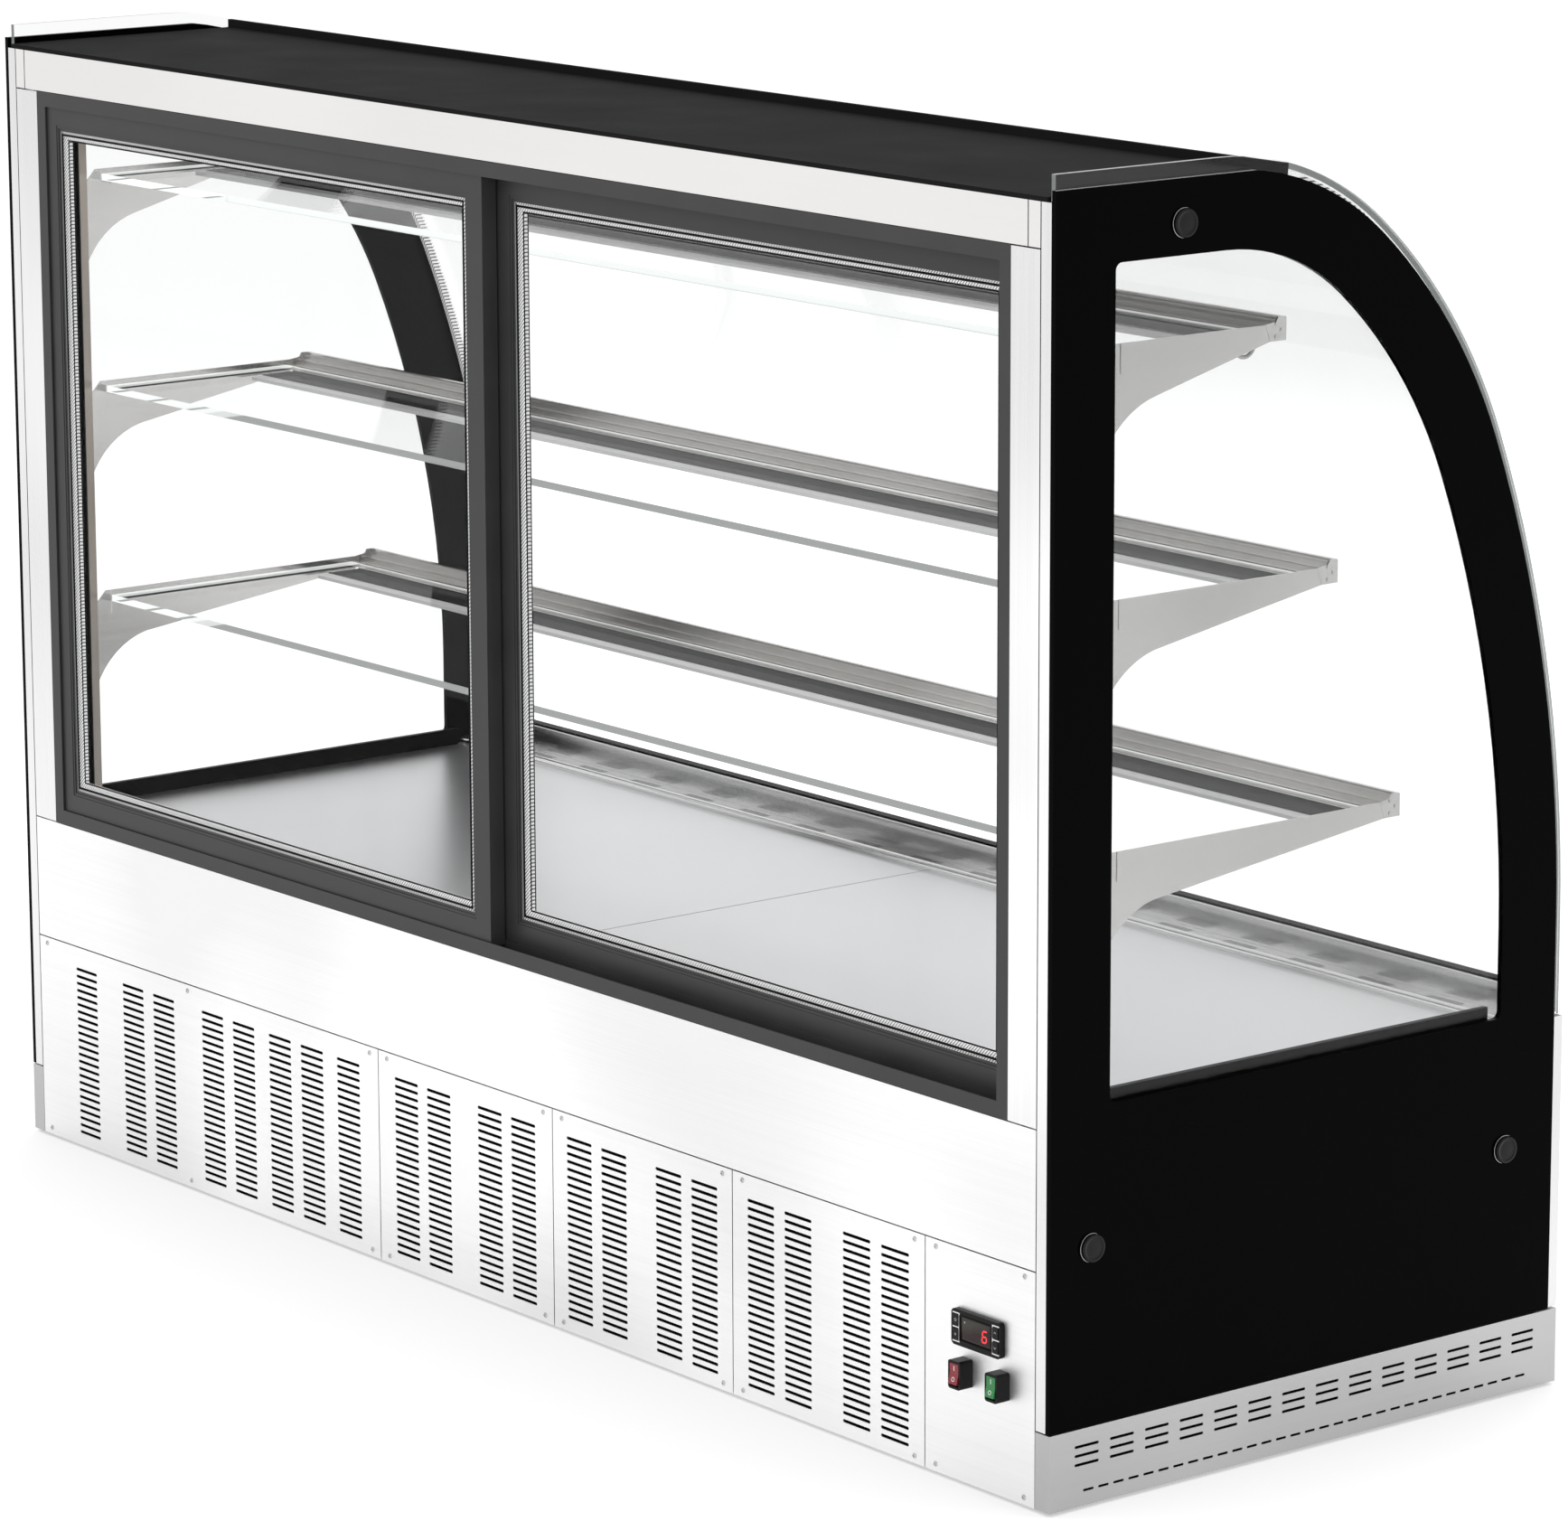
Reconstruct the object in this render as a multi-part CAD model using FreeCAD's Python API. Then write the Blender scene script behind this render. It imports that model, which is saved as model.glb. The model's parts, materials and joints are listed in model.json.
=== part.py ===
import FreeCAD, Part
import math
import os

# Refrigerated bakery display case with a curved customer glass and two sliding service doors.
# Frame: origin at the centre of the footprint on the floor, +X along the length,
# -Y towards the customer, +Y towards the service side, +Z up. All sizes in millimetres.
# A "depth" is a distance from the service face towards the customer.

# ---- overall sizes -------------------------------------------------------------------------
LENGTH = 1900.0                 # over the two end panels
DEPTH = 710.0                   # service face to customer face
HEIGHT = 1350.0                 # floor to the crown of the curved glass
FOOT_GAP = 4.0                  # bottom of the sheet panels above the floor
SKIRT_TOP = 85.0                # top of the side skirts
PLINTH_TOP = 251.0              # top of the grille panels
APRON_TOP = 398.0               # top of the service apron, foot of the door surround
RAIL_DROP = 27.0                # crown of the curved glass above the service rail
RAIL_TALL = 46.0                # height of the service rail
RAIL_TOP = HEIGHT - RAIL_DROP
DOOR_TOP = RAIL_TOP - RAIL_TALL  # top of the door surround
DECK = 405.0                    # top of the deck trays
CLEAR = 0.3                     # running clearance between pieces that move
SEAM = 1.5                      # open joint between neighbouring sheet panels

# ---- curved glass --------------------------------------------------------------------------
CURVE_RADII = (1400.0, 595.0, 340.0)     # low, middle and crown arc of the outer surface
CURVE_BREAKS = (22.0, 50.0)              # degrees from the level where one arc meets the next
FRONT_GLASS = 6.0
GLASS_FOOT = 408.0              # lower edge of the curved glass
CROWN_REACH = 91.7              # glass edge at the top panel, in front of the crown arc's centre

# ---- end units -----------------------------------------------------------------------------
END_PANEL = 6.0                 # black gloss panel
PANE = 6.0                      # outer clear pane
INNER_PANE = 4.0                # inner clear pane
PANE_GAP = 7.0                  # spacer between the two panes
FACE_GAP = 0.5                  # bond line between neighbouring panes
BAND_OFFSET = 12.5              # black panel set in from the glass outline
WINDOW_OFFSET = 91.0            # window set in from the glass outline
WINDOW_REAR = 77.0              # depth of the window's service edge
WINDOW_FOOT = 417.0
WINDOW_CORNER = 8.0
END_PANEL_TOP = HEIGHT - 15.0
PANE_SETBACK = 5.0              # clear pane behind the service edge
SEAL_OFFSET = 8.0               # inner pane set in from the outline
SPACER_WIDTH = 8.0
CAP_RADIUS = 15.0
CAP_HEIGHT = 5.0
CAP_ROUNDING = 1.6
CAP_SHANK = 4.0
CAP_PLACES = ((165.0, HEIGHT - 59.0), (DEPTH - 82.0, 274.0), (54.0, 272.0))   # depth, height

# ---- sheet metal ---------------------------------------------------------------------------
SHEET = 1.2
RETURN = 14.0                   # folded edge of every face panel
POST_WIDTH = 22.0               # corner channel, seen from the service side
POST_DEPTH = 24.0
JAMB_EDGE = 67.0                # door surround's distance from the end of the case
RAIL_END = 41.0                 # short end piece of the top rail
RAIL_DEPTH = 46.0
TRIM_DEPTH = BAND_OFFSET - 0.5   # corner trim on the customer side, in front of the end panel
CUSTOMER_TOP = 406.0
CUSTOMER_FOOT = 88.0
SKIRT_RETURN = 22.0

# ---- grille panels -------------------------------------------------------------------------
CONTROL_EDGE = 195.0            # control panel's far edge from the right end
NARROW_GRILLE = 319.0
MIDDLE_GRILLE = 331.0
SLOT_LENGTH = 45.0
SLOT_HEIGHT = 3.6
SLOT_ROWS = 24
SLOT_PITCH = 8.8
SLOT_FIRST = 21.0               # lowest row above the floor
PAIR_INNER = 48.5               # slot columns either side of a narrow grille's middle
PAIR_OUTER = 111.0
WIDE_COLUMNS = (60.0, 133.0, 198.0, 273.0, 338.0, 442.0, 508.0, 610.0, 675.0)
SCREW_INSET = 17.0
SCREW_MARGIN = 8.0              # screws from the panel's lower and upper edge
SCREW_RADIUS = 3.0
SCREW_RISE = 1.2

# ---- side skirt pattern --------------------------------------------------------------------
SKIRT_MARGIN = 25.0             # unpierced metal at each end of the skirt
SKIRT_GROUP_PITCH = 47.0
SKIRT_GROUPS = int((DEPTH - 2 * SKIRT_MARGIN) / SKIRT_GROUP_PITCH)
SKIRT_SLOT = (32.0, 3.0)
SKIRT_ROWS = (48.0, 57.5, 67.0)
DASH_MARGIN = 40.0
DASH_PITCH = 20.2
DASH_COUNT = int((DEPTH - 2 * DASH_MARGIN) / DASH_PITCH)
DASH_SLOT = (14.0, 2.6)
DASH_HEIGHT = 20.0

# ---- doors ---------------------------------------------------------------------------------
SURROUND_FACE = 17.0
SURROUND_DEPTH = 46.0
SURROUND_WALL = 2.0
OUTER_TRACK = 2.0               # depth where the outer door's front face lies
DOOR_THICK = 19.0
TRACK_FIN = 1.5
DOOR_SIDE_GAP = 0.8             # between a door's faces and its track walls
DOOR_BITE = 7.0                 # closed door reaches this far into its jamb
DOOR_OVERLAP = 6.0              # the two doors pass each other by this much
DOOR_MEMBER = 36.0
DOOR_FOOT_GAP = 10.0            # door frame above the channel floor
DOOR_HEAD_GAP = 9.0             # lift-out room above a door
GLIDE_LENGTH = 60.0
GLIDE_THICK = 8.0
GLIDE_INSET = 70.0
DOOR_PANE = 4.0
DOOR_PANE_GAP = 7.0
REBATE = 6.0                    # glass edge held inside the door frame
GLASS_BED = 0.5                 # room round the glass in its rebate
STEP_COUNT = 3                  # steps in the door profile between face and glass
STEP_WIDTH = 3.2
STEP_DEPTHS = (2.6, 1.7, 0.7)   # from the inner step outwards

# ---- shelves -------------------------------------------------------------------------------
SHELF_LEVELS = (("top", 1160.0, 328.0), ("middle", 905.0, 403.0), ("lower", 650.0, 495.0))
SHELF_GLASS = 8.0
SHELF_REAR = 109.0              # depth of the shelf glass's service edge
BRACKET = 2.5
BRACKET_DROP = 103.0
UPRIGHT = 16.0
UPRIGHT_DEPTH = 68.0
UPRIGHT_WALL = 1.5
HOOK_SLOT = (4.4, 16.0)         # width and height of an upright's slots
HOOK_TALL = 10.0
HOOK_NOSE = 4.0
HOOK_PITCH = 25.5               # slots in the uprights; shelf levels are whole pitches apart
HOOK_DROP = 20.0                # upper hook below the shelf's underside
NOSE_DEPTH = 28.0               # front profile, service to customer
NOSE_RISE = 21.0                # front profile above the shelf's underside
NOSE_DROP = 3.0
NOSE_WALL = 2.0
NOSE_LIP = 8.0                  # lip that covers the front edge of the shelf glass
NOSE_SLANT = 6.0                # joint between arm and end plate leans forwards by this much
ARM_RISE = 14.0                 # arm stands above its flange, beside the glass
ARM_FLANGE = 14.0
LAMP_INSET = 22.0
LAMP_PLATE = 46.0
PLATE_LOW = 4.5                 # lamp plate's faces below the glass
PLATE_HIGH = 1.5
LAMP_GAP = 9.0                  # lamp plate's front edge behind the nose profile
LAMP_WIDTH = 18.0
LAMP_THICK = 4.0
LEAD_RADIUS = 2.2               # lead that loops under the top shelf's lamp plate
LEAD_BEND = 13.0
LEAD_DROP = 21.0
LEAD_INSET = 7.0
LEAD_AHEAD = 11.0               # its front leg ahead of the nose profile's rear edge

# ---- deck and tub --------------------------------------------------------------------------
TUB_REAR = 50.0
TUB_FRONT = DEPTH - 20.0
TUB_FOOT = 284.0
TUB_WALL = 34.0
TUB_FRONT_WALL = 14.0
TUB_FLOOR = 30.0
GRILLE_STRIP = 56.0
GRILLE_STRIP_FRONT = TUB_FRONT - 6.0
DECK_REAR = 56.0
DECK_FRONT = GRILLE_STRIP_FRONT - GRILLE_STRIP
DECK_FOLD = 12.0
BODY_TOP = DECK - DECK_FOLD     # rim that carries the trays and the end panes
BEAD_RADIUS = 6.0
BEAD_RISE = 2.0
GRILLE_DROP = 3.0
LEDGE_TOP = 432.0
AIR_SLOT = (52.0, 1.6)
AIR_ROWS = 7
AIR_ROW_PITCH = 4.0
AIR_GROUP_PITCH = 108.0
AIR_MARGIN = 30.0
SKIRTING = (34.0, 8.0, 7.0, 20.0)   # wall skirting: rear and front gap, width, height

# ---- controls ------------------------------------------------------------------------------
DISPLAY_PLACE = (107.7, 168.5)  # from the right end, height
DISPLAY_SIZE = (77.0, 38.0)
DISPLAY_RISE = 6.0
DISPLAY_ROUNDING = 5.0
DISPLAY_WINDOW = (48.0, 25.0, 1.2)
DISPLAY_BODY = (70.0, 29.0, 48.0)
KEY_SIZE = (8.6, 12.0)
KEY_SPREAD = 31.0
KEY_PITCH = 7.6
KEY_TRAVEL = 0.8
KEY_RISE = 0.9                  # key stands proud of the bezel
KEY_POCKET = 4.0
KEY_ROUNDING = 1.2
SWITCH_PLACES = (("red", 128.5), ("green", 71.0))
SWITCH_HEIGHT = 122.0
BOOT = (19.0, 30.0, 17.0)       # width, height, rise
BOOT_WALL = 2.6
BOOT_ROUNDING = 3.0
SWITCH_BODY = 26.0
ROCKER_TILT = 7.0               # degrees either side of level
ROCKER_REACH = 10.7

# ---- base and machine ----------------------------------------------------------------------
FRAME_SETBACK = RETURN + 0.5    # base frame behind the panel faces
FRAME_FOOT = 40.0
FRAME_TUBE = 40.0
FRAME_WALL = 2.0
PAN_THICK = 1.5
PAN_LIP = 5.0
CARCASS_TUBE = 25.0
FOOT_RADIUS = 24.0
FOOT_PAD = 9.0
FOOT_STEM = 6.0
FOOT_THREAD_UP = 12.0           # stem above the underside of the frame
FOOT_NUT = (8.0, 6.0, 4.0)      # height below and above the frame wall, radius past the stem
FOOT_END = 75.5                 # outer feet from the end of the base frame
FOOT_INSET = 40.0

HALF_L = LENGTH / 2
HALF_D = DEPTH / 2
PAN_TOP = FRAME_FOOT + FRAME_TUBE + PAN_THICK
INNER_FACE = HALF_L - END_PANEL - PANE - INNER_PANE - PANE_GAP - 2 * FACE_GAP
AIR_GROUPS = int(2 * (INNER_FACE - AIR_MARGIN) / AIR_GROUP_PITCH)

os.makedirs("parts", exist_ok=True)


# ---- helpers -------------------------------------------------------------------------------
def row_y(depth):
    """Y of a depth measured from the service face."""
    return HALF_D - depth


def from_right(distance):
    """X of a distance measured from the right end of the case, seen from the service side."""
    return distance - HALF_L


def block(x0, x1, d0, d1, z0, z1):
    """Box between two X values, two depths and two heights."""
    corner = FreeCAD.Vector(x0, row_y(d1), z0)
    return Part.makeBox(x1 - x0, d1 - d0, z1 - z0, corner)


def rod_x(x0, x1, depth, z, radius):
    """Cylinder along X."""
    return Part.makeCylinder(radius, x1 - x0, FreeCAD.Vector(x0, row_y(depth), z), FreeCAD.Vector(1, 0, 0))


def rod_d(x, d0, d1, z, radius):
    """Cylinder along the depth direction."""
    return Part.makeCylinder(radius, d1 - d0, FreeCAD.Vector(x, row_y(d0), z), FreeCAD.Vector(0, -1, 0))


def rod_z(x, depth, z0, z1, radius):
    """Upright cylinder."""
    return Part.makeCylinder(radius, z1 - z0, FreeCAD.Vector(x, row_y(depth), z0), FreeCAD.Vector(0, 0, 1))


def union(shapes):
    """One solid fused from several."""
    first = shapes[0]
    return first.multiFuse(shapes[1:]).removeSplitter() if len(shapes) > 1 else first


def group(shapes):
    """Separate solids kept together in one node."""
    return Part.makeCompound(shapes)


def mirror_x(shape):
    """The same shape at the other end of the case."""
    return shape.mirror(FreeCAD.Vector(0, 0, 0), FreeCAD.Vector(1, 0, 0))


def save(node, shape):
    """Writes one node's file."""
    shape.exportStep("parts/" + node + ".step")


def section_point(x, point):
    """A (depth, height) point placed at X."""
    return FreeCAD.Vector(x, row_y(point[0]), point[1])


def prism_x(x0, x1, points):
    """Straight-sided section in depth and height, extruded along X."""
    corners = [section_point(x0, p) for p in points]
    face = Part.Face(Part.makePolygon(corners + [corners[0]]))
    return face.extrude(FreeCAD.Vector(x1 - x0, 0, 0))


def slot_wire(origin, along, up, width, height):
    """Round-ended slot outline centred at origin in the plane of two unit vectors."""
    half = width / 2 - height / 2
    radius = height / 2

    def place(a, b):
        return origin + along * a + up * b

    edges = [Part.LineSegment(place(-half, -radius), place(half, -radius)).toShape()]
    edges.append(Part.Arc(place(half, -radius), place(half + radius, 0), place(half, radius)).toShape())
    edges.append(Part.LineSegment(place(half, radius), place(-half, radius)).toShape())
    edges.append(Part.Arc(place(-half, radius), place(-half - radius, 0), place(-half, -radius)).toShape())
    return Part.Wire(edges)


def pierced_sheet(corners, holes, thickness_vector):
    """Flat sheet with hole outlines, given its four corners."""
    outline = Part.makePolygon(corners + [corners[0]])
    face = Part.makeFace([outline] + holes, "Part::FaceMakerBullseye")
    return face.extrude(thickness_vector)


def service_panel(x0, x1, z0, z1, slots=(), holes=(), fold=RETURN):
    """Folded face panel on the service side with round-ended slots and square cut-outs."""
    up = FreeCAD.Vector(0, 0, 1)
    along = FreeCAD.Vector(1, 0, 0)
    corners = [FreeCAD.Vector(x, HALF_D, z) for x, z in ((x0, z0), (x1, z0), (x1, z1), (x0, z1))]
    wires = [slot_wire(FreeCAD.Vector(x, HALF_D, z), along, up, w, h) for x, z, w, h in slots]
    face = pierced_sheet(corners, wires, FreeCAD.Vector(0, -SHEET, 0))
    frame = block(x0, x1, SHEET, fold, z0, z1)
    frame = frame.cut(block(x0 + SHEET, x1 - SHEET, 0, fold + 1, z0 + SHEET, z1 - SHEET))
    panel = face.fuse(frame).removeSplitter()
    for hx, hz, width, height in holes:
        half_w = width / 2
        half_h = height / 2
        panel = panel.cut(block(hx - half_w, hx + half_w, -1, SHEET + 1, hz - half_h, hz + half_h))
    return panel


# ---- curved outline shared by every glass piece ---------------------------------------------
def arc_centres():
    """Centres (depth, height) of the low, middle and crown arcs."""
    r1, r2, r3 = CURVE_RADII
    a1, a2 = (math.radians(a) for a in CURVE_BREAKS)
    rise = r1 * math.sin(a1) + r2 * (math.sin(a2) - math.sin(a1)) + r3 * (1 - math.sin(a2))
    c1 = (DEPTH - r1, HEIGHT - rise)
    c2 = (c1[0] + (r1 - r2) * math.cos(a1), c1[1] + (r1 - r2) * math.sin(a1))
    c3 = (c2[0] + (r2 - r3) * math.cos(a2), c2[1] + (r2 - r3) * math.sin(a2))
    return c1, c2, c3


CENTRES = arc_centres()
TOP_LIP_DEPTH = CENTRES[2][0] + CROWN_REACH


def curve_arcs(offset, end_angle):
    """The three arcs, set in by offset, as (start, middle, end) points from foot to crown."""
    angles = [0.0, math.radians(CURVE_BREAKS[0]), math.radians(CURVE_BREAKS[1]), end_angle]
    arcs = []
    for i in range(3):
        centre = CENTRES[i]
        radius = CURVE_RADII[i] - offset
        stops = (angles[i], (angles[i] + angles[i + 1]) / 2, angles[i + 1])
        arcs.append([(centre[0] + radius * math.cos(t), centre[1] + radius * math.sin(t)) for t in stops])
    return arcs


def angle_at_height(offset, z):
    """Angle on the crown arc at which the set-in outline reaches a height."""
    ratio = (z - CENTRES[2][1]) / (CURVE_RADII[2] - offset)
    return math.pi / 2 if ratio >= 1 else math.asin(ratio)


def angle_at_depth(offset, depth):
    """Angle on the crown arc at which the set-in outline reaches a depth."""
    return math.acos((depth - CENTRES[2][0]) / (CURVE_RADII[2] - offset))


def end_outline(x, offset, rear, foot, top):
    """Closed outline of an end piece: flat foot, rear and top, curved customer edge."""
    arcs = curve_arcs(offset, angle_at_height(offset, top))
    points = [(rear, foot), (DEPTH - offset, foot)]
    edges = [Part.LineSegment(section_point(x, points[0]), section_point(x, points[1])).toShape()]
    edges.append(Part.LineSegment(section_point(x, points[1]), section_point(x, arcs[0][0])).toShape())
    for arc in arcs:
        edges.append(Part.Arc(*[section_point(x, p) for p in arc]).toShape())
    last = arcs[2][2]
    edges.append(Part.LineSegment(section_point(x, last), section_point(x, (rear, last[1]))).toShape())
    edges.append(Part.LineSegment(section_point(x, (rear, last[1])), section_point(x, points[0])).toShape())
    return Part.Wire(edges)


def end_slab(x0, x1, offset, rear, foot, top):
    """Flat slab of the end outline between two X values."""
    face = Part.Face(end_outline(x0, offset, rear, foot, top))
    return face.extrude(FreeCAD.Vector(x1 - x0, 0, 0))


def curved_sheet(x0, x1, outer, inner, foot, crown_depth):
    """Shell between two offsets of the curve, from a foot height up to a depth on the crown."""
    outside = curve_arcs(outer, angle_at_depth(outer, crown_depth))
    inside = curve_arcs(inner, angle_at_depth(inner, crown_depth))
    start = section_point(x0, (DEPTH - outer, foot))
    edges = [Part.LineSegment(start, section_point(x0, outside[0][0])).toShape()]
    for arc in outside:
        edges.append(Part.Arc(*[section_point(x0, p) for p in arc]).toShape())
    lip = (section_point(x0, outside[2][2]), section_point(x0, inside[2][2]))
    edges.append(Part.LineSegment(*lip).toShape())
    for arc in reversed(inside):
        edges.append(Part.Arc(*[section_point(x0, p) for p in reversed(arc)]).toShape())
    low = section_point(x0, (DEPTH - inner, foot))
    edges.append(Part.LineSegment(section_point(x0, inside[0][0]), low).toShape())
    edges.append(Part.LineSegment(low, start).toShape())
    return Part.Face(Part.Wire(edges)).extrude(FreeCAD.Vector(x1 - x0, 0, 0))


# ---- base ----------------------------------------------------------------------------------
FRAME_X = HALF_L - FRAME_SETBACK
FRAME_D0 = FRAME_SETBACK
FRAME_D1 = DEPTH - FRAME_SETBACK
FRAME_TOP = FRAME_FOOT + FRAME_TUBE


def foot_places():
    """X and depth of the six feet."""
    depths = (FRAME_D0 + FOOT_INSET, FRAME_D1 - FOOT_INSET)
    outer = FRAME_X - FOOT_END
    return [(x, d) for x in (-outer, 0.0, outer) for d in depths]


def base_frame():
    """Folded channels, open inwards: two long ones, one at each end and a box member across."""
    w = FRAME_WALL
    flange = 2 * FOOT_INSET
    x_in = FRAME_X - flange
    d_in0 = FRAME_D0 + flange
    d_in1 = FRAME_D1 - flange
    hollow = block(-FRAME_X + w, FRAME_X - w, FRAME_D0 + w, FRAME_D1 - w, FRAME_FOOT + w, FRAME_TOP - w)
    members = []
    for x0, x1, d0, d1 in ((-FRAME_X, FRAME_X, FRAME_D0, d_in0), (-FRAME_X, FRAME_X, d_in1, FRAME_D1),
                           (-FRAME_X, -x_in, d_in0, d_in1), (x_in, FRAME_X, d_in0, d_in1)):
        members.append(block(x0, x1, d0, d1, FRAME_FOOT, FRAME_TOP).cut(hollow))
    middle = block(-FOOT_INSET, FOOT_INSET, d_in0, d_in1, FRAME_FOOT, FRAME_TOP)
    inside = block(-FOOT_INSET + w, FOOT_INSET - w, FRAME_D0, FRAME_D1, FRAME_FOOT + w, FRAME_TOP - w)
    members.append(middle.cut(inside))
    for x, depth in foot_places():
        hole = rod_z(x, depth, FRAME_FOOT - 1, FRAME_FOOT + w + 1, FOOT_STEM + 0.5)
        members = [member.cut(hole) for member in members]
    return group(members)


def levelling_feet():
    """Pad, threaded stem and lock nuts of each foot, turned from one piece."""
    below, above, past = FOOT_NUT
    feet = []
    for x, depth in foot_places():
        pad = rod_z(x, depth, 0, FOOT_PAD, FOOT_RADIUS)
        stem = rod_z(x, depth, 0, FRAME_FOOT + FOOT_THREAD_UP, FOOT_STEM)
        nut = rod_z(x, depth, FRAME_FOOT - below, FRAME_FOOT, FOOT_STEM + past)
        seat = FRAME_FOOT + FRAME_WALL
        cap = rod_z(x, depth, seat, seat + above, FOOT_STEM + past)
        feet.append(union([pad, stem, nut, cap]))
    return group(feet)


def base_pan():
    """Shallow pan on the base frame that carries the machine and catches drips."""
    pan = block(-FRAME_X, FRAME_X, FRAME_D0, FRAME_D1, FRAME_TOP, FRAME_TOP + PAN_LIP)
    inner = block(-FRAME_X + PAN_THICK, FRAME_X - PAN_THICK, FRAME_D0 + PAN_THICK, FRAME_D1 - PAN_THICK,
                  PAN_TOP, FRAME_TOP + PAN_LIP + 1)
    return pan.cut(inner)


CARCASS_X = FRAME_X - PAN_THICK - 1
CARCASS_D0 = POST_DEPTH + 1
CARCASS_D1 = FRAME_D1 - PAN_THICK - 1


def carcass_frame():
    """Welded frame: six posts, bearers under the tub and a steel sheet up each side."""
    t = CARCASS_TUBE
    x1 = CARCASS_X
    pieces = []
    for d in (CARCASS_D0, CARCASS_D1 - t):
        for x in (-x1, -t / 2, x1 - t):
            pieces.append(block(x, x + t, d, d + t, PAN_TOP, TUB_FOOT))
        pieces.append(block(-x1, x1, d, d + t, TUB_FOOT - t, TUB_FOOT))
    for sx in (-1, 1):
        bearer = sorted((sx * x1, sx * (x1 - t)))
        pieces.append(block(bearer[0], bearer[1], CARCASS_D0, CARCASS_D1, TUB_FOOT - t, TUB_FOOT))
        sheet = sorted((sx * x1, sx * (x1 - SHEET)))
        pieces.append(block(sheet[0], sheet[1], CARCASS_D0, CARCASS_D1, PAN_TOP, BODY_TOP))
    return union(pieces)


def side_skirt():
    """Right-hand skirt: pierced face with folded returns round both corners."""
    x = -HALF_L
    along = FreeCAD.Vector(0, -1, 0)
    up = FreeCAD.Vector(0, 0, 1)
    wires = []
    first = DEPTH / 2 - SKIRT_GROUP_PITCH * (SKIRT_GROUPS - 1) / 2
    for i in range(SKIRT_GROUPS):
        for z in SKIRT_ROWS:
            centre = FreeCAD.Vector(x, row_y(first + i * SKIRT_GROUP_PITCH), z)
            wires.append(slot_wire(centre, along, up, *SKIRT_SLOT))
    first = DEPTH / 2 - DASH_PITCH * (DASH_COUNT - 1) / 2
    for i in range(DASH_COUNT):
        centre = FreeCAD.Vector(x, row_y(first + i * DASH_PITCH), DASH_HEIGHT)
        wires.append(slot_wire(centre, along, up, *DASH_SLOT))
    corners = [FreeCAD.Vector(x, row_y(d), z)
               for d, z in ((0, FOOT_GAP), (DEPTH, FOOT_GAP), (DEPTH, SKIRT_TOP), (0, SKIRT_TOP))]
    face = pierced_sheet(corners, wires, FreeCAD.Vector(SHEET, 0, 0))
    service = block(x, x + SKIRT_RETURN, 0, SHEET, FOOT_GAP, SKIRT_TOP)
    customer = block(x, x + SKIRT_RETURN, DEPTH - SHEET, DEPTH, FOOT_GAP, SKIRT_TOP)
    shelf = block(x, -FRAME_X - CLEAR, 0, DEPTH, SKIRT_TOP - SHEET, SKIRT_TOP)
    return union([face, service, customer, shelf])


# ---- service side --------------------------------------------------------------------------
GRILLE_FOOT = FOOT_GAP


def grille_edges():
    """Panel borders measured from the right end: control panel, three narrow grilles, one wide."""
    edges = [POST_WIDTH, CONTROL_EDGE]
    for width in (NARROW_GRILLE, NARROW_GRILLE, MIDDLE_GRILLE):
        edges.append(edges[-1] + width)
    edges.append(LENGTH - POST_WIDTH)
    return edges


EDGES = grille_edges()


def slot_rows(x):
    """One column of louvre slots, each as (x, z, width, height)."""
    return [(x, SLOT_FIRST + row * SLOT_PITCH, SLOT_LENGTH, SLOT_HEIGHT) for row in range(SLOT_ROWS)]


def wide_columns():
    """Slot columns of the wide grille that fit between its borders."""
    room = EDGES[5] - EDGES[4] - SLOT_LENGTH / 2 - SCREW_INSET
    return [c for c in WIDE_COLUMNS if c < room]


def grille_panel(index):
    """Grille 1 is the wide one at the left end; 2 to 4 follow towards the controls."""
    border = 5 - index
    left = EDGES[border]
    right = EDGES[border + 1]
    if index == 1:
        columns = [left + c for c in wide_columns()]
    else:
        middle = (left + right) / 2
        columns = [middle + c for c in (-PAIR_OUTER, -PAIR_INNER, PAIR_INNER, PAIR_OUTER)]
    slots = []
    for column in columns:
        slots += slot_rows(from_right(column))
    half = SEAM / 2
    x0 = from_right(left) + half
    x1 = from_right(right) - half
    return service_panel(x0, x1, GRILLE_FOOT, PLINTH_TOP - half, slots)


def control_panel():
    """Face panel with cut-outs for the thermostat and the two switches."""
    half = SEAM / 2
    holes = [(from_right(DISPLAY_PLACE[0]), DISPLAY_PLACE[1], DISPLAY_BODY[0] + 1, DISPLAY_BODY[1] + 1)]
    for _, place in SWITCH_PLACES:
        holes.append((from_right(place), SWITCH_HEIGHT, BOOT[0] - 2 * BOOT_WALL, BOOT[1] - 2 * BOOT_WALL))
    return service_panel(from_right(EDGES[0]) + half, from_right(EDGES[1]) - half, GRILLE_FOOT,
                         PLINTH_TOP - half, (), holes)


def panel_screws():
    """Domed screws at the corners of every face panel, and of the wide grille's middle."""
    places = []
    low = GRILLE_FOOT + SCREW_MARGIN
    high = PLINTH_TOP - SCREW_MARGIN
    for i in range(5):
        for distance in (EDGES[i] + SCREW_INSET, EDGES[i + 1] - SCREW_INSET):
            places += [(from_right(distance), low), (from_right(distance), high)]
    columns = wide_columns()
    if len(columns) > 5:
        middle = from_right(EDGES[4] + (columns[4] + columns[5]) / 2)
        places += [(middle, low), (middle, high)]
    screws = []
    for x, z in places:
        head = rod_d(x, -SCREW_RISE, 0, z, SCREW_RADIUS)
        rim = [e for e in head.Edges if e.BoundBox.YMin > HALF_D + SCREW_RISE - 0.01]
        screws.append(head.makeFillet(SCREW_RISE * 0.6, rim))
    return group(screws)


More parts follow.
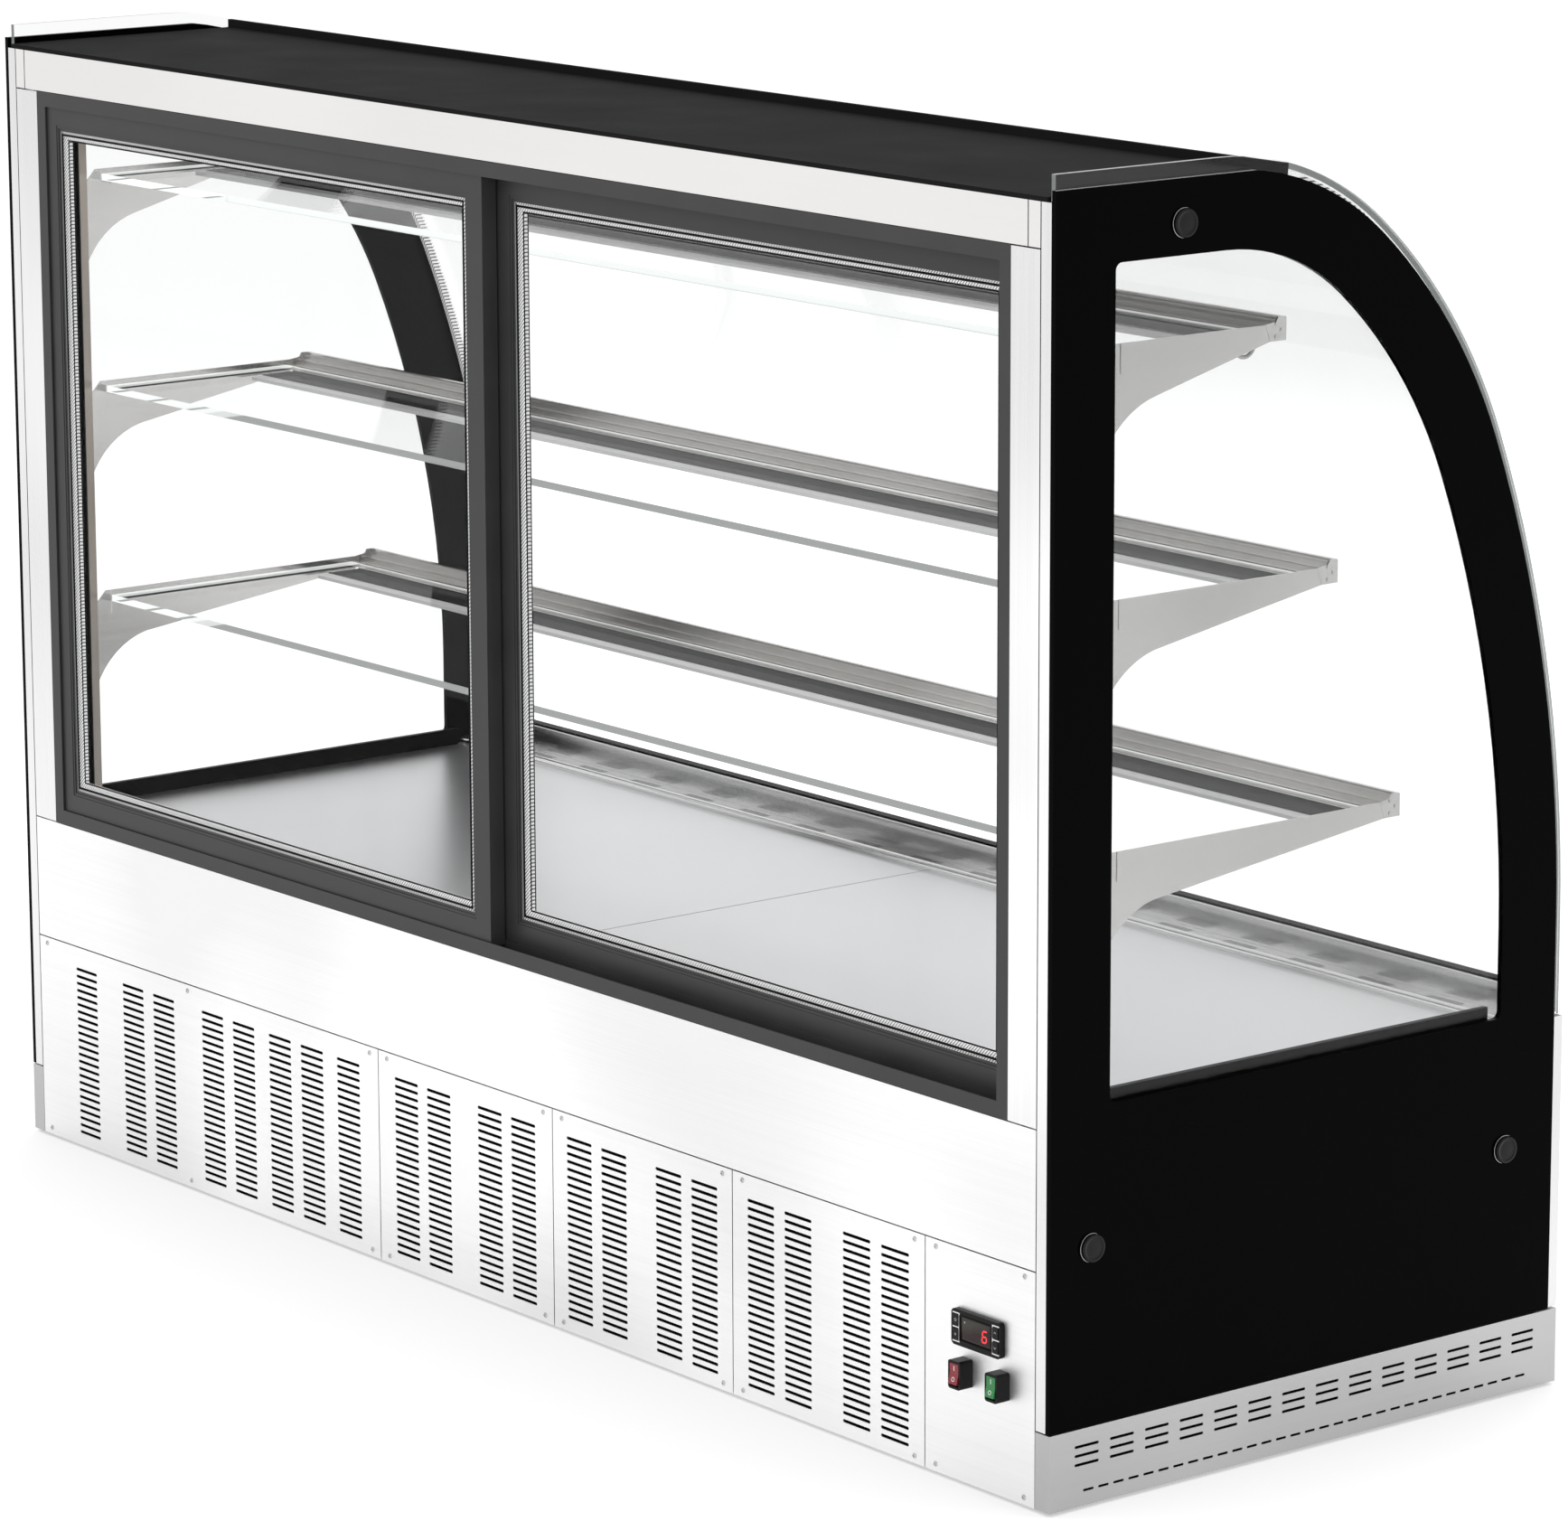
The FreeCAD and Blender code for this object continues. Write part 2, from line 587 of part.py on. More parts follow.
def service_apron():
    """Plain panel between the grilles and the door surround."""
    half = SEAM / 2
    x0 = -HALF_L + POST_WIDTH + half
    return service_panel(x0, -x0, PLINTH_TOP + half, APRON_TOP - half)


def corner_post():
    """Right-hand corner channel and the jamb sheet beside the door surround."""
    x0 = -HALF_L + END_PANEL + FACE_GAP
    x1 = -HALF_L + POST_WIDTH - SEAM / 2
    channel = block(x0, x1, 0, POST_DEPTH, SKIRT_TOP + SEAM, RAIL_TOP)
    hollow = block(x0 + 2, x1 - 2, 2, POST_DEPTH + 1, SKIRT_TOP, RAIL_TOP + 1)
    channel = channel.cut(hollow)
    j0 = -HALF_L + POST_WIDTH + SEAM / 2
    j1 = -HALF_L + JAMB_EDGE - FACE_GAP
    jamb = block(j0, j1, 0, RETURN, APRON_TOP + SEAM / 2, DOOR_TOP - SEAM / 2)
    jamb = jamb.cut(block(j0 + SHEET, j1 - SHEET, SHEET, RETURN + 1, APRON_TOP, DOOR_TOP))
    return group([channel, jamb])


def top_rail():
    """Box rail over the doors and a short end piece at each side."""
    half = SEAM / 2
    z0 = DOOR_TOP + half
    x_end = HALF_L - RAIL_END
    rail = block(-x_end + half, x_end - half, 0, RAIL_DEPTH, z0, RAIL_TOP)
    rail = rail.cut(block(-x_end, x_end, SHEET, RAIL_DEPTH - SHEET, z0 + SHEET, RAIL_TOP - SHEET))
    pieces = [rail]
    right = block(-HALF_L + POST_WIDTH + half, -x_end - half, 0, POST_DEPTH, z0, RAIL_TOP)
    right = right.cut(block(-HALF_L, HALF_L, SHEET, POST_DEPTH - SHEET, z0 + SHEET, RAIL_TOP - SHEET))
    pieces += [right, mirror_x(right)]
    return group(pieces)


# ---- door surround and doors ----------------------------------------------------------------
SURROUND_X = HALF_L - JAMB_EDGE
SURROUND_Z0 = APRON_TOP
SURROUND_Z1 = DOOR_TOP
INNER_TRACK = OUTER_TRACK + DOOR_THICK + 2 * DOOR_SIDE_GAP + TRACK_FIN
CHANNEL_Z0 = SURROUND_Z0 + SURROUND_WALL
DOOR_Z0 = CHANNEL_Z0 + DOOR_FOOT_GAP
DOOR_Z1 = SURROUND_Z1 - SURROUND_WALL - DOOR_HEAD_GAP


def surround_ring():
    """Closed ring with two track channels; every member has the same section."""
    f = SURROUND_FACE
    w = SURROUND_WALL
    x1 = SURROUND_X
    ring = block(-x1, x1, 0, SURROUND_DEPTH, SURROUND_Z0, SURROUND_Z1)
    ring = ring.cut(block(-x1 + f, x1 - f, -1, SURROUND_DEPTH + 1, SURROUND_Z0 + f, SURROUND_Z1 - f))
    for d0 in (OUTER_TRACK, INNER_TRACK):
        d1 = d0 + DOOR_THICK + 2 * DOOR_SIDE_GAP
        ring = ring.cut(block(-x1 + w, x1 - w, d0, d1, SURROUND_Z0 + w, SURROUND_Z1 - w))
    return ring


def door_surround():
    """The ring parted into four members on its mitre lines."""
    ring = surround_ring()
    x1 = SURROUND_X
    z0 = SURROUND_Z0
    z1 = SURROUND_Z1
    reach = (z1 - z0) / 2
    members = []
    outlines = (
        ((-x1, z0), (x1, z0), (x1 - reach, z0 + reach), (-x1 + reach, z0 + reach)),
        ((-x1, z1), (x1, z1), (x1 - reach, z1 - reach), (-x1 + reach, z1 - reach)),
        ((-x1, z0), (-x1, z1), (-x1 + reach, z1 - reach), (-x1 + reach, z0 + reach)),
        ((x1, z0), (x1, z1), (x1 - reach, z1 - reach), (x1 - reach, z0 + reach)),
    )
    for outline in outlines:
        corners = [FreeCAD.Vector(x, HALF_D + 1, z) for x, z in outline]
        if outline[3] == outline[2]:
            corners = corners[:3]
        wedge = Part.Face(Part.makePolygon(corners + [corners[0]]))
        wedge = wedge.extrude(FreeCAD.Vector(0, -SURROUND_DEPTH - 2, 0))
        members.append(ring.common(wedge))
    return group([solid for member in members for solid in member.Solids])


DOOR_LOW_X = -(SURROUND_X - SURROUND_FACE) - DOOR_BITE
DOOR_HIGH_X = DOOR_OVERLAP / 2


def door_span(name):
    """X range of a closed door; the left door is at the +X end."""
    return (DOOR_LOW_X, DOOR_HIGH_X) if name == "right" else (-DOOR_HIGH_X, -DOOR_LOW_X)


def door_depth(name):
    """Depth of a door's front face in its own track."""
    track = INNER_TRACK if name == "right" else OUTER_TRACK
    return track + DOOR_SIDE_GAP


def door_frame(name):
    """Profile ring with stepped inner faces, a glass rebate and two nylon glides beneath."""
    x0, x1 = door_span(name)
    d0 = door_depth(name)
    m = DOOR_MEMBER
    ring = block(x0, x1, d0, d0 + DOOR_THICK, DOOR_Z0, DOOR_Z1)
    ring = ring.cut(block(x0 + m, x1 - m, d0 - 1, d0 + DOOR_THICK + 1, DOOR_Z0 + m, DOOR_Z1 - m))
    for step in range(STEP_COUNT):
        inset = m - (step + 1) * STEP_WIDTH
        depth = STEP_DEPTHS[step]
        ring = ring.cut(block(x0 + inset, x1 - inset, d0 - 1, d0 + depth, DOOR_Z0 + inset, DOOR_Z1 - inset))
    glass0, glass1 = door_glass_depths(name)
    inset = m - REBATE - GLASS_BED
    ring = ring.cut(block(x0 + inset, x1 - inset, glass0, glass1, DOOR_Z0 + inset, DOOR_Z1 - inset))
    middle = d0 + DOOR_THICK / 2
    glides = []
    for x in (x0 + GLIDE_INSET, x1 - GLIDE_INSET):
        glides.append(block(x - GLIDE_LENGTH / 2, x + GLIDE_LENGTH / 2, middle - GLIDE_THICK / 2,
                            middle + GLIDE_THICK / 2, CHANNEL_Z0 + CLEAR, DOOR_Z0))
    return group([ring] + glides)


def door_glass_depths(name):
    """Depths of the outer and inner face of a door's insulating unit."""
    middle = door_depth(name) + DOOR_THICK / 2
    half = DOOR_PANE + DOOR_PANE_GAP / 2
    return middle - half, middle + half


def door_glass(name):
    """Two panes of the door's insulating unit."""
    x0, x1 = door_span(name)
    inset = DOOR_MEMBER - REBATE
    d0, d1 = door_glass_depths(name)
    panes = []
    for a, b in ((d0, d0 + DOOR_PANE), (d1 - DOOR_PANE, d1)):
        panes.append(block(x0 + inset, x1 - inset, a, b, DOOR_Z0 + inset, DOOR_Z1 - inset))
    return group(panes)


# ---- end units -----------------------------------------------------------------------------
def end_panel():
    """Right-hand black gloss panel with its window and three fixing holes."""
    x0 = -HALF_L
    panel = end_slab(x0, x0 + END_PANEL, BAND_OFFSET, 0, SKIRT_TOP + SEAM, END_PANEL_TOP)
    crown = HEIGHT - WINDOW_OFFSET
    window = end_slab(x0 - 1, x0 + END_PANEL + 1, WINDOW_OFFSET, WINDOW_REAR, WINDOW_FOOT, crown)
    corners = []
    for edge in window.Edges:
        box = edge.BoundBox
        straight = box.XLength > END_PANEL and box.YLength < 0.01 and box.ZLength < 0.01
        at_rear = abs(box.YMin - row_y(WINDOW_REAR)) < 0.01
        at_foot = abs(box.ZMin - WINDOW_FOOT) < 0.01
        if straight and (at_rear or at_foot):
            corners.append(edge)
    panel = panel.cut(window.makeFillet(WINDOW_CORNER, corners))
    for depth, z in CAP_PLACES:
        panel = panel.cut(rod_x(x0 - 1, x0 + END_PANEL + 1, depth, z, CAP_SHANK + CLEAR))
    return panel


def end_outer_pane():
    """Right-hand clear pane behind the panel; its edge stands proud of the black band."""
    x0 = -HALF_L + END_PANEL + FACE_GAP
    pane = end_slab(x0, x0 + PANE, 0, PANE_SETBACK, BODY_TOP, HEIGHT)
    notch = block(x0 - 1, x0 + PANE + 1, -1, POST_DEPTH + FACE_GAP, BODY_TOP - 1, RAIL_TOP + FACE_GAP)
    foot = block(x0 - 1, x0 + PANE + 1, DEPTH - TRIM_DEPTH - FACE_GAP, DEPTH + 1, BODY_TOP - 1,
                 CUSTOMER_TOP + FACE_GAP)
    return pane.cut(notch).cut(foot)


PANE_REAR = POST_DEPTH + 2.0
PANE_TOP = RAIL_TOP - FACE_GAP


def end_inner_pane():
    """Right-hand inner clear pane."""
    x0 = -INNER_FACE - INNER_PANE
    return end_slab(x0, x0 + INNER_PANE, SEAL_OFFSET, PANE_REAR, BODY_TOP, PANE_TOP)


def end_spacer():
    """Right-hand spacer bar that runs round the edge between the two panes."""
    x0 = -HALF_L + END_PANEL + FACE_GAP + PANE
    x1 = x0 + PANE_GAP + FACE_GAP
    outer = end_slab(x0, x1, SEAL_OFFSET, PANE_REAR, BODY_TOP, PANE_TOP)
    w = SPACER_WIDTH
    inner = end_slab(x0 - 1, x1 + 1, SEAL_OFFSET + w, PANE_REAR + w, BODY_TOP + w, PANE_TOP - w)
    return outer.cut(inner)


def end_screw_caps():
    """Round fixing caps with their shanks; each clamps the panel to the pane or the side sheet."""
    caps = []
    x0 = -HALF_L
    for depth, z in CAP_PLACES:
        head = rod_x(x0 - CAP_HEIGHT, x0, depth, z, CAP_RADIUS)
        rims = [e for e in head.Edges if e.BoundBox.XMax < x0 - CAP_HEIGHT + 0.01]
        head = head.makeFillet(CAP_ROUNDING, rims)
        reach = FACE_GAP if z > BODY_TOP else FRAME_SETBACK - END_PANEL + PAN_THICK + 1
        shank = rod_x(x0 - 1, x0 + END_PANEL + reach, depth, z, CAP_SHANK)
        cap = union([head, shank])
        caps += [cap, mirror_x(cap)]
    return group(caps)


# ---- curved glass, top and seals -------------------------------------------------------------
CURVED_X = HALF_L - END_PANEL - FACE_GAP - PANE - FACE_GAP


def curved_front_glass():
    """Customer glass in one bent sheet."""
    return curved_sheet(-CURVED_X, CURVED_X, 0, FRONT_GLASS, GLASS_FOOT, TOP_LIP_DEPTH)


TOP_SHEET = 5.0
HOLDER_DROP = 12.0              # glass holder's flange below the rail's top
HOLDER_FLANGE = 22.0
HOLDER_WALL = 3.0
LIP_DROP = 20.0


def top_panel():
    """Black top sheet with a lip behind the service rail, and the profile that holds the glass."""
    x1 = CURVED_X
    x2 = INNER_FACE - CLEAR
    z0 = RAIL_TOP
    edge = TOP_LIP_DEPTH - PANE
    radius = CURVE_RADII[2] - FRONT_GLASS
    glass_low = CENTRES[2][1] + radius * math.sin(angle_at_depth(FRONT_GLASS, TOP_LIP_DEPTH))
    glass_high = CENTRES[2][1] + CURVE_RADII[2] * math.sin(angle_at_depth(0, TOP_LIP_DEPTH))
    sheet = block(-x1, x1, 0, edge, z0, z0 + TOP_SHEET)
    lip_depth = RAIL_DEPTH + FACE_GAP
    lip = block(-x2, x2, lip_depth, lip_depth + SHEET, z0 - LIP_DROP, z0)
    d0 = edge + FACE_GAP
    d1 = TOP_LIP_DEPTH - FACE_GAP
    low = z0 - HOLDER_DROP
    crest = block(-x1, x1, d0, d1, z0, glass_high)
    web = block(-x2, x2, d0, d1, low, z0 + 1)
    foot = block(-x2, x2, d0, TOP_LIP_DEPTH + HOLDER_FLANGE, low, low + HOLDER_WALL)
    tongue = block(-x2, x2, TOP_LIP_DEPTH - 1, TOP_LIP_DEPTH + 5, low + 2, glass_low - 5)
    return group([union([sheet, lip]), union([crest, web, foot, tongue])])


def glazing_seals():
    """Black seals: under and inside the curved glass, and the skirting along each end wall."""
    outer = DEPTH - FRONT_GLASS
    seals = [block(-CURVED_X, CURVED_X, outer, DEPTH - SEAM, CUSTOMER_TOP, GLASS_FOOT)]
    seals.append(block(-INNER_FACE, INNER_FACE, LEDGE_FRONT + SHEET, outer - CLEAR, LEDGE_TOP - 8,
                       LEDGE_TOP + 1.5))
    rear_gap, front_gap, width, height = SKIRTING
    x1 = INNER_FACE
    strip = block(-x1, -x1 + width, DECK_REAR + rear_gap - 4, DECK_FRONT - front_gap, DECK, DECK + height)
    return group(seals + [strip, mirror_x(strip)])


# ---- shelves -------------------------------------------------------------------------------
ARM_X = INNER_FACE - FACE_GAP - UPRIGHT / 2 + BRACKET / 2      # outer face of a shelf arm


def shelf_uprights():
    """Slotted U channels that stand at the rear corners of the cabinet."""
    x0 = -INNER_FACE + FACE_GAP
    back = UPRIGHT_DEPTH + UPRIGHT
    w = UPRIGHT_WALL
    outer = block(x0, x0 + UPRIGHT, UPRIGHT_DEPTH, back, DECK, RAIL_TOP)
    hollow = block(x0 + w, x0 + UPRIGHT - w, UPRIGHT_DEPTH - 1, back - w, DECK - 1, RAIL_TOP + 1)
    channel = outer.cut(hollow)
    middle = x0 + UPRIGHT / 2
    half_w = HOOK_SLOT[0] / 2
    half_h = HOOK_SLOT[1] / 2
    top_hook = SHELF_LEVELS[0][1] - HOOK_DROP
    above = int((RAIL_TOP - HOOK_PITCH - top_hook) / HOOK_PITCH)
    below = int((top_hook - DECK - HOOK_PITCH) / HOOK_PITCH)
    slots = []
    for i in range(-below, above + 1):
        z = top_hook + i * HOOK_PITCH
        d = back - UPRIGHT / 2
        slots.append(block(middle - half_w, middle + half_w, d, back + 1, z - half_h, z + half_h))
    channel = channel.cut(group(slots))
    return group([channel, mirror_x(channel)])


def shelf_bracket(level, tip):
    """Right-hand steel arm: a web that rises beside the glass, an inner flange and two hooks."""
    x0 = -ARM_X
    rear = UPRIGHT_DEPTH + UPRIGHT + CLEAR
    front = tip - NOSE_DEPTH
    top = level + ARM_RISE
    points = {
        "rear_top": (rear, level - 4), "notch": (SHELF_REAR - 8, top), "front_top": (front, top),
        "front_low": (front + NOSE_SLANT, level - NOSE_DROP), "knee": (rear + 72, level - 42),
        "belly": (rear + 26, level - 66), "rear_low": (rear, level - BRACKET_DROP),
    }
    at = {key: section_point(x0, value) for key, value in points.items()}
    edges = []
    for start, end in (("rear_low", "rear_top"), ("rear_top", "notch"), ("notch", "front_top"),
                       ("front_top", "front_low"), ("front_low", "knee")):
        edges.append(Part.LineSegment(at[start], at[end]).toShape())
    edges.append(Part.Arc(at["knee"], at["belly"], at["rear_low"]).toShape())
    web = Part.Face(Part.Wire(edges)).extrude(FreeCAD.Vector(BRACKET, 0, 0))
    web = web.cut(block(x0 - 1, x0 + BRACKET + 1, SHELF_REAR - 1.6, SHELF_REAR, level - 16, top + 1))
    flange = block(x0, x0 + ARM_FLANGE, SHELF_REAR + 6, front - LAMP_GAP, level - BRACKET, level)
    hooks = []
    nose_front = rear - CLEAR - UPRIGHT_WALL - CLEAR
    nose_rear = rear - CLEAR - UPRIGHT_WALL - HOOK_NOSE
    for drop in (HOOK_DROP, HOOK_DROP + 2 * HOOK_PITCH):
        low = level - drop - HOOK_TALL / 2
        hooks.append(block(x0, x0 + BRACKET, nose_rear, rear + 1, low, low + HOOK_TALL))
        hooks.append(block(x0, x0 + BRACKET, nose_rear, nose_front, low - 2, low + HOOK_TALL))
    return union([web, flange] + hooks)


def nose_section(level, tip):
    """Corners of the front profile: face, stepped top, lip over the glass and underside."""
    d0 = tip - NOSE_DEPTH
    z0 = level - NOSE_DROP
    z1 = level + NOSE_RISE
    lip = level + SHELF_GLASS + 0.4
    return ((d0, z0), (tip - 3, z0), (tip, z0 + 4), (tip, z1), (tip - 5, z1), (tip - 5, z1 - 3),
            (tip - 9, z1 - 3), (tip - 9, z1 - 7), (d0 + 6, z1 - 7), (d0 + 6, lip + 1),
            (d0 - NOSE_LIP, lip + 1), (d0 - NOSE_LIP, lip), (d0 + 4, lip), (d0 + 4, level - CLEAR),
            (d0, level - CLEAR))


def nose_plate(level, tip):
    """Right-hand end plate of the front profile, with three screw heads."""
    x0 = -ARM_X
    d0 = tip - NOSE_DEPTH + CLEAR
    z0 = level - NOSE_DROP
    z1 = level + NOSE_RISE
    outline = ((d0 + NOSE_SLANT, z0), (tip, z0), (tip, z1), (tip - 11, z1), (tip - 14, z1 - 5),
               (d0, level + ARM_RISE))
    plate = prism_x(x0, x0 + NOSE_WALL, outline)
    for across, up in ((0.5, 0.72), (0.76, 0.45), (0.5, 0.18)):
        plate = plate.fuse(rod_x(x0 - 1.0, x0, d0 + across * NOSE_DEPTH, z0 + up * (z1 - z0), 1.8))
    return plate.removeSplitter()


def shelf_frame(level, tip):
    """Two arms, the aluminium nose profile between them, its end plates and the lamp plate."""
    arm = shelf_bracket(level, tip)
    x0 = -ARM_X
    d0 = tip - NOSE_DEPTH
    z0 = level - NOSE_DROP
    z1 = level + NOSE_RISE
    nose = prism_x(x0 + NOSE_WALL, -x0 - NOSE_WALL, nose_section(level, tip))
    hollow = ((tip - 3, z0 + 6), (tip - 3, z1 - 9), (d0 + 9, z1 - 9), (d0 + 9, z0 + 6))
    nose = nose.cut(prism_x(x0, -x0, hollow))
    for side in (-1, 1):
        inner = sorted((side * (ARM_X + 1), side * (ARM_X - BRACKET - CLEAR)))
        nose = nose.cut(block(inner[0], inner[1], d0 - NOSE_LIP - 1, d0 + NOSE_SLANT + 1, z0 - 1, z1))
    plate = nose_plate(level, tip)
    lamp_x = ARM_X - LAMP_INSET
    low = level - PLATE_LOW
    holder = block(-lamp_x, lamp_x, d0 - LAMP_GAP - LAMP_PLATE, d0, low, level - PLATE_HIGH)
    holder = holder.fuse(block(-lamp_x, lamp_x, d0, d0 + 6, low, z0))
    return group([arm, mirror_x(arm), nose, plate, mirror_x(plate), holder.removeSplitter()])


def shelf_glass(level, tip):
    """Clear shelf between the arms' webs, on their flanges and under the nose profile's lip."""
    x1 = ARM_X - BRACKET - CLEAR
    return block(-x1, x1, SHELF_REAR, tip - NOSE_DEPTH + 3.6, level, level + SHELF_GLASS)


def lamp_lead(level, tip):
    """Short lead that loops down from the lamp plate and back up to the nose profile."""
    x = -(ARM_X - LAMP_INSET - LEAD_INSET)
    front = tip - NOSE_DEPTH + LEAD_AHEAD
    rear = front - 2 * LEAD_BEND
    turn = level - LEAD_DROP + LEAD_BEND
    points = ((rear, level - PLATE_LOW), (rear, turn), (rear + LEAD_BEND, turn - LEAD_BEND), (front, turn),
              (front, level - NOSE_DROP))
    at = [section_point(x, p) for p in points]
    path = Part.Wire([Part.LineSegment(at[0], at[1]).toShape(), Part.Arc(at[1], at[2], at[3]).toShape(),
                      Part.LineSegment(at[3], at[4]).toShape()])
    section = Part.Wire(Part.makeCircle(LEAD_RADIUS, at[0], FreeCAD.Vector(0, 0, -1)))
    return path.makePipeShell([section], True, True)


def led_strips():
    """White lamp covers under each shelf and the top panel's front profile, and one lead."""
    x1 = ARM_X - LAMP_INSET - 4
    lamps = []
    for _, level, tip in SHELF_LEVELS:
        front = tip - NOSE_DEPTH - LAMP_GAP - LAMP_PLATE
        high = level - PLATE_HIGH
        lamps.append(block(-x1, x1, front - LAMP_WIDTH, front, high - LAMP_THICK, high))
    z1 = RAIL_TOP - HOLDER_DROP
    lamps.append(block(-x1, x1, TOP_LIP_DEPTH - 3, TOP_LIP_DEPTH - 3 + LAMP_WIDTH, z1 - HOLDER_WALL, z1))
    _, top_level, top_tip = SHELF_LEVELS[0]
    lamps.append(lamp_lead(top_level, top_tip))
    return group(lamps)


# ---- deck ----------------------------------------------------------------------------------
LEDGE_FRONT = TUB_FRONT
TUB_SIDE = CARCASS_X - SHEET - 1


def insulated_tub():
    """Foamed well that holds the evaporator; its rim carries the deck."""
    tub = block(-TUB_SIDE, TUB_SIDE, TUB_REAR, TUB_FRONT, TUB_FOOT, BODY_TOP)
    inner = block(-TUB_SIDE + TUB_WALL, TUB_SIDE - TUB_WALL, TUB_REAR + TUB_WALL, TUB_FRONT - TUB_FRONT_WALL,
                  TUB_FOOT + TUB_FLOOR, DECK)
    x_stop = TUB_SIDE - TUB_WALL
    stop = block(-x_stop, x_stop, TUB_REAR, TUB_REAR + 5, BODY_TOP - 1, DECK - SHEET)
    return tub.cut(inner).fuse(stop).removeSplitter()


def deck_trays():
    """Polished steel trays with folded edges, laid side by side on the tub's rim."""
    trays = []
    x1 = INNER_FACE - 1
    for x0, x2 in ((-x1, -SEAM / 2), (SEAM / 2, x1)):
        tray = block(x0, x2, DECK_REAR, DECK_FRONT, BODY_TOP, DECK)
        tray = tray.cut(block(x0 + SHEET, x2 - SHEET, DECK_REAR + SHEET, DECK_FRONT - SHEET, BODY_TOP - 1,
                              DECK - SHEET))
        corner = -1 if x0 < 0 else 1
        post = sorted((corner * (x1 + 1), corner * (x1 - UPRIGHT - 1.5)))
        back = UPRIGHT_DEPTH + UPRIGHT + 1
        trays.append(tray.cut(block(post[0], post[1], DECK_REAR - 1, back, BODY_TOP - 1, DECK + 1)))
    return group(trays)


def air_grille_strip():
    """Pierced strip between the trays and the ledge, with a round bead along the tray side."""
    x1 = INNER_FACE - 1
    d0 = DECK_FRONT + CLEAR
    d1 = GRILLE_STRIP_FRONT
    z1 = DECK - GRILLE_DROP
    crest = DECK + BEAD_RISE
    along = FreeCAD.Vector(1, 0, 0)
    up = FreeCAD.Vector(0, -1, 0)
    wires = []
    middle = (d0 + 2 * BEAD_RADIUS + d1) / 2
    for g in range(AIR_GROUPS):
        x = (g - (AIR_GROUPS - 1) / 2) * AIR_GROUP_PITCH
        for r in range(AIR_ROWS):
            d = middle + (r - (AIR_ROWS - 1) / 2) * AIR_ROW_PITCH
            wires.append(slot_wire(FreeCAD.Vector(x, row_y(d), z1), along, up, *AIR_SLOT))
    corners = [FreeCAD.Vector(x, row_y(d), z1) for x, d in ((-x1, d0), (x1, d0), (x1, d1), (-x1, d1))]
    strip = pierced_sheet(corners, wires, FreeCAD.Vector(0, 0, -SHEET))
    bead = rod_x(-x1, x1, d0 + BEAD_RADIUS, crest, BEAD_RADIUS)
    web = block(-x1, x1, d0, d0 + 2 * BEAD_RADIUS, BODY_TOP, crest)
    front = block(-x1, x1, d1 - SHEET, d1, BODY_TOP, z1)
    return union([strip, bead, web, front])


def customer_ledge():
    """Polished upstand in front of the air strip, with a fold towards the curved glass."""
    x1 = INNER_FACE - 1
    d0 = GRILLE_STRIP_FRONT + CLEAR
    face = block(-x1, x1, d0, d0 + SHEET, BODY_TOP, LEDGE_TOP)
    fold = block(-x1, x1, d0, LEDGE_FRONT + SHEET, LEDGE_TOP - SHEET, LEDGE_TOP)
    back = block(-x1, x1, LEDGE_FRONT, LEDGE_FRONT + SHEET, BODY_TOP, LEDGE_TOP)
    return union([face, fold, back])


# ---- customer side --------------------------------------------------------------------------
def customer_panels():
    """Steel front panel, kick panel below it and the two corner trims."""
    half = SEAM / 2
    x_trim = HALF_L - POST_WIDTH
    z0 = CUSTOMER_FOOT
    apron = block(-x_trim + half, x_trim - half, DEPTH - RETURN, DEPTH, z0, CUSTOMER_TOP)
    apron = apron.cut(block(-x_trim + half + SHEET, x_trim - half - SHEET, DEPTH - RETURN - 1, DEPTH - SHEET,
                            z0 + SHEET, CUSTOMER_TOP - SHEET))
    pane = DEPTH - SEAL_OFFSET + CLEAR
    for x in (-x_trim, x_trim):
        apron = apron.cut(block(x - 4, x + 4, DEPTH - RETURN - 1, pane, BODY_TOP - 1, CUSTOMER_TOP + 1))
    kick = block(-x_trim + half, x_trim - half, DEPTH - RETURN, DEPTH, FOOT_GAP, z0 - SEAM)
    kick = kick.cut(block(-x_trim + half + SHEET, x_trim - half - SHEET, DEPTH - RETURN - 1, DEPTH - SHEET,
                          FOOT_GAP + SHEET, z0 - SEAM - SHEET))
    trim = block(-HALF_L, -x_trim - half, DEPTH - TRIM_DEPTH, DEPTH, z0, CUSTOMER_TOP)
    back = DEPTH - TRIM_DEPTH - 1
    trim = trim.cut(block(-HALF_L + SHEET, -x_trim, back, DEPTH - SHEET, z0 - 1, CUSTOMER_TOP + 1))
    return group([apron, kick, trim, mirror_x(trim)])


# ---- controls ------------------------------------------------------------------------------
def key_places():
    """Name and centre of each thermostat key."""
    x, z = from_right(DISPLAY_PLACE[0]), DISPLAY_PLACE[1]
    return (
        ("set_key", x + KEY_SPREAD, z + KEY_PITCH), ("light_key", x + KEY_SPREAD, z - KEY_PITCH),
        ("up_key", x - KEY_SPREAD, z + KEY_PITCH), ("down_key", x - KEY_SPREAD, z - KEY_PITCH),
    )


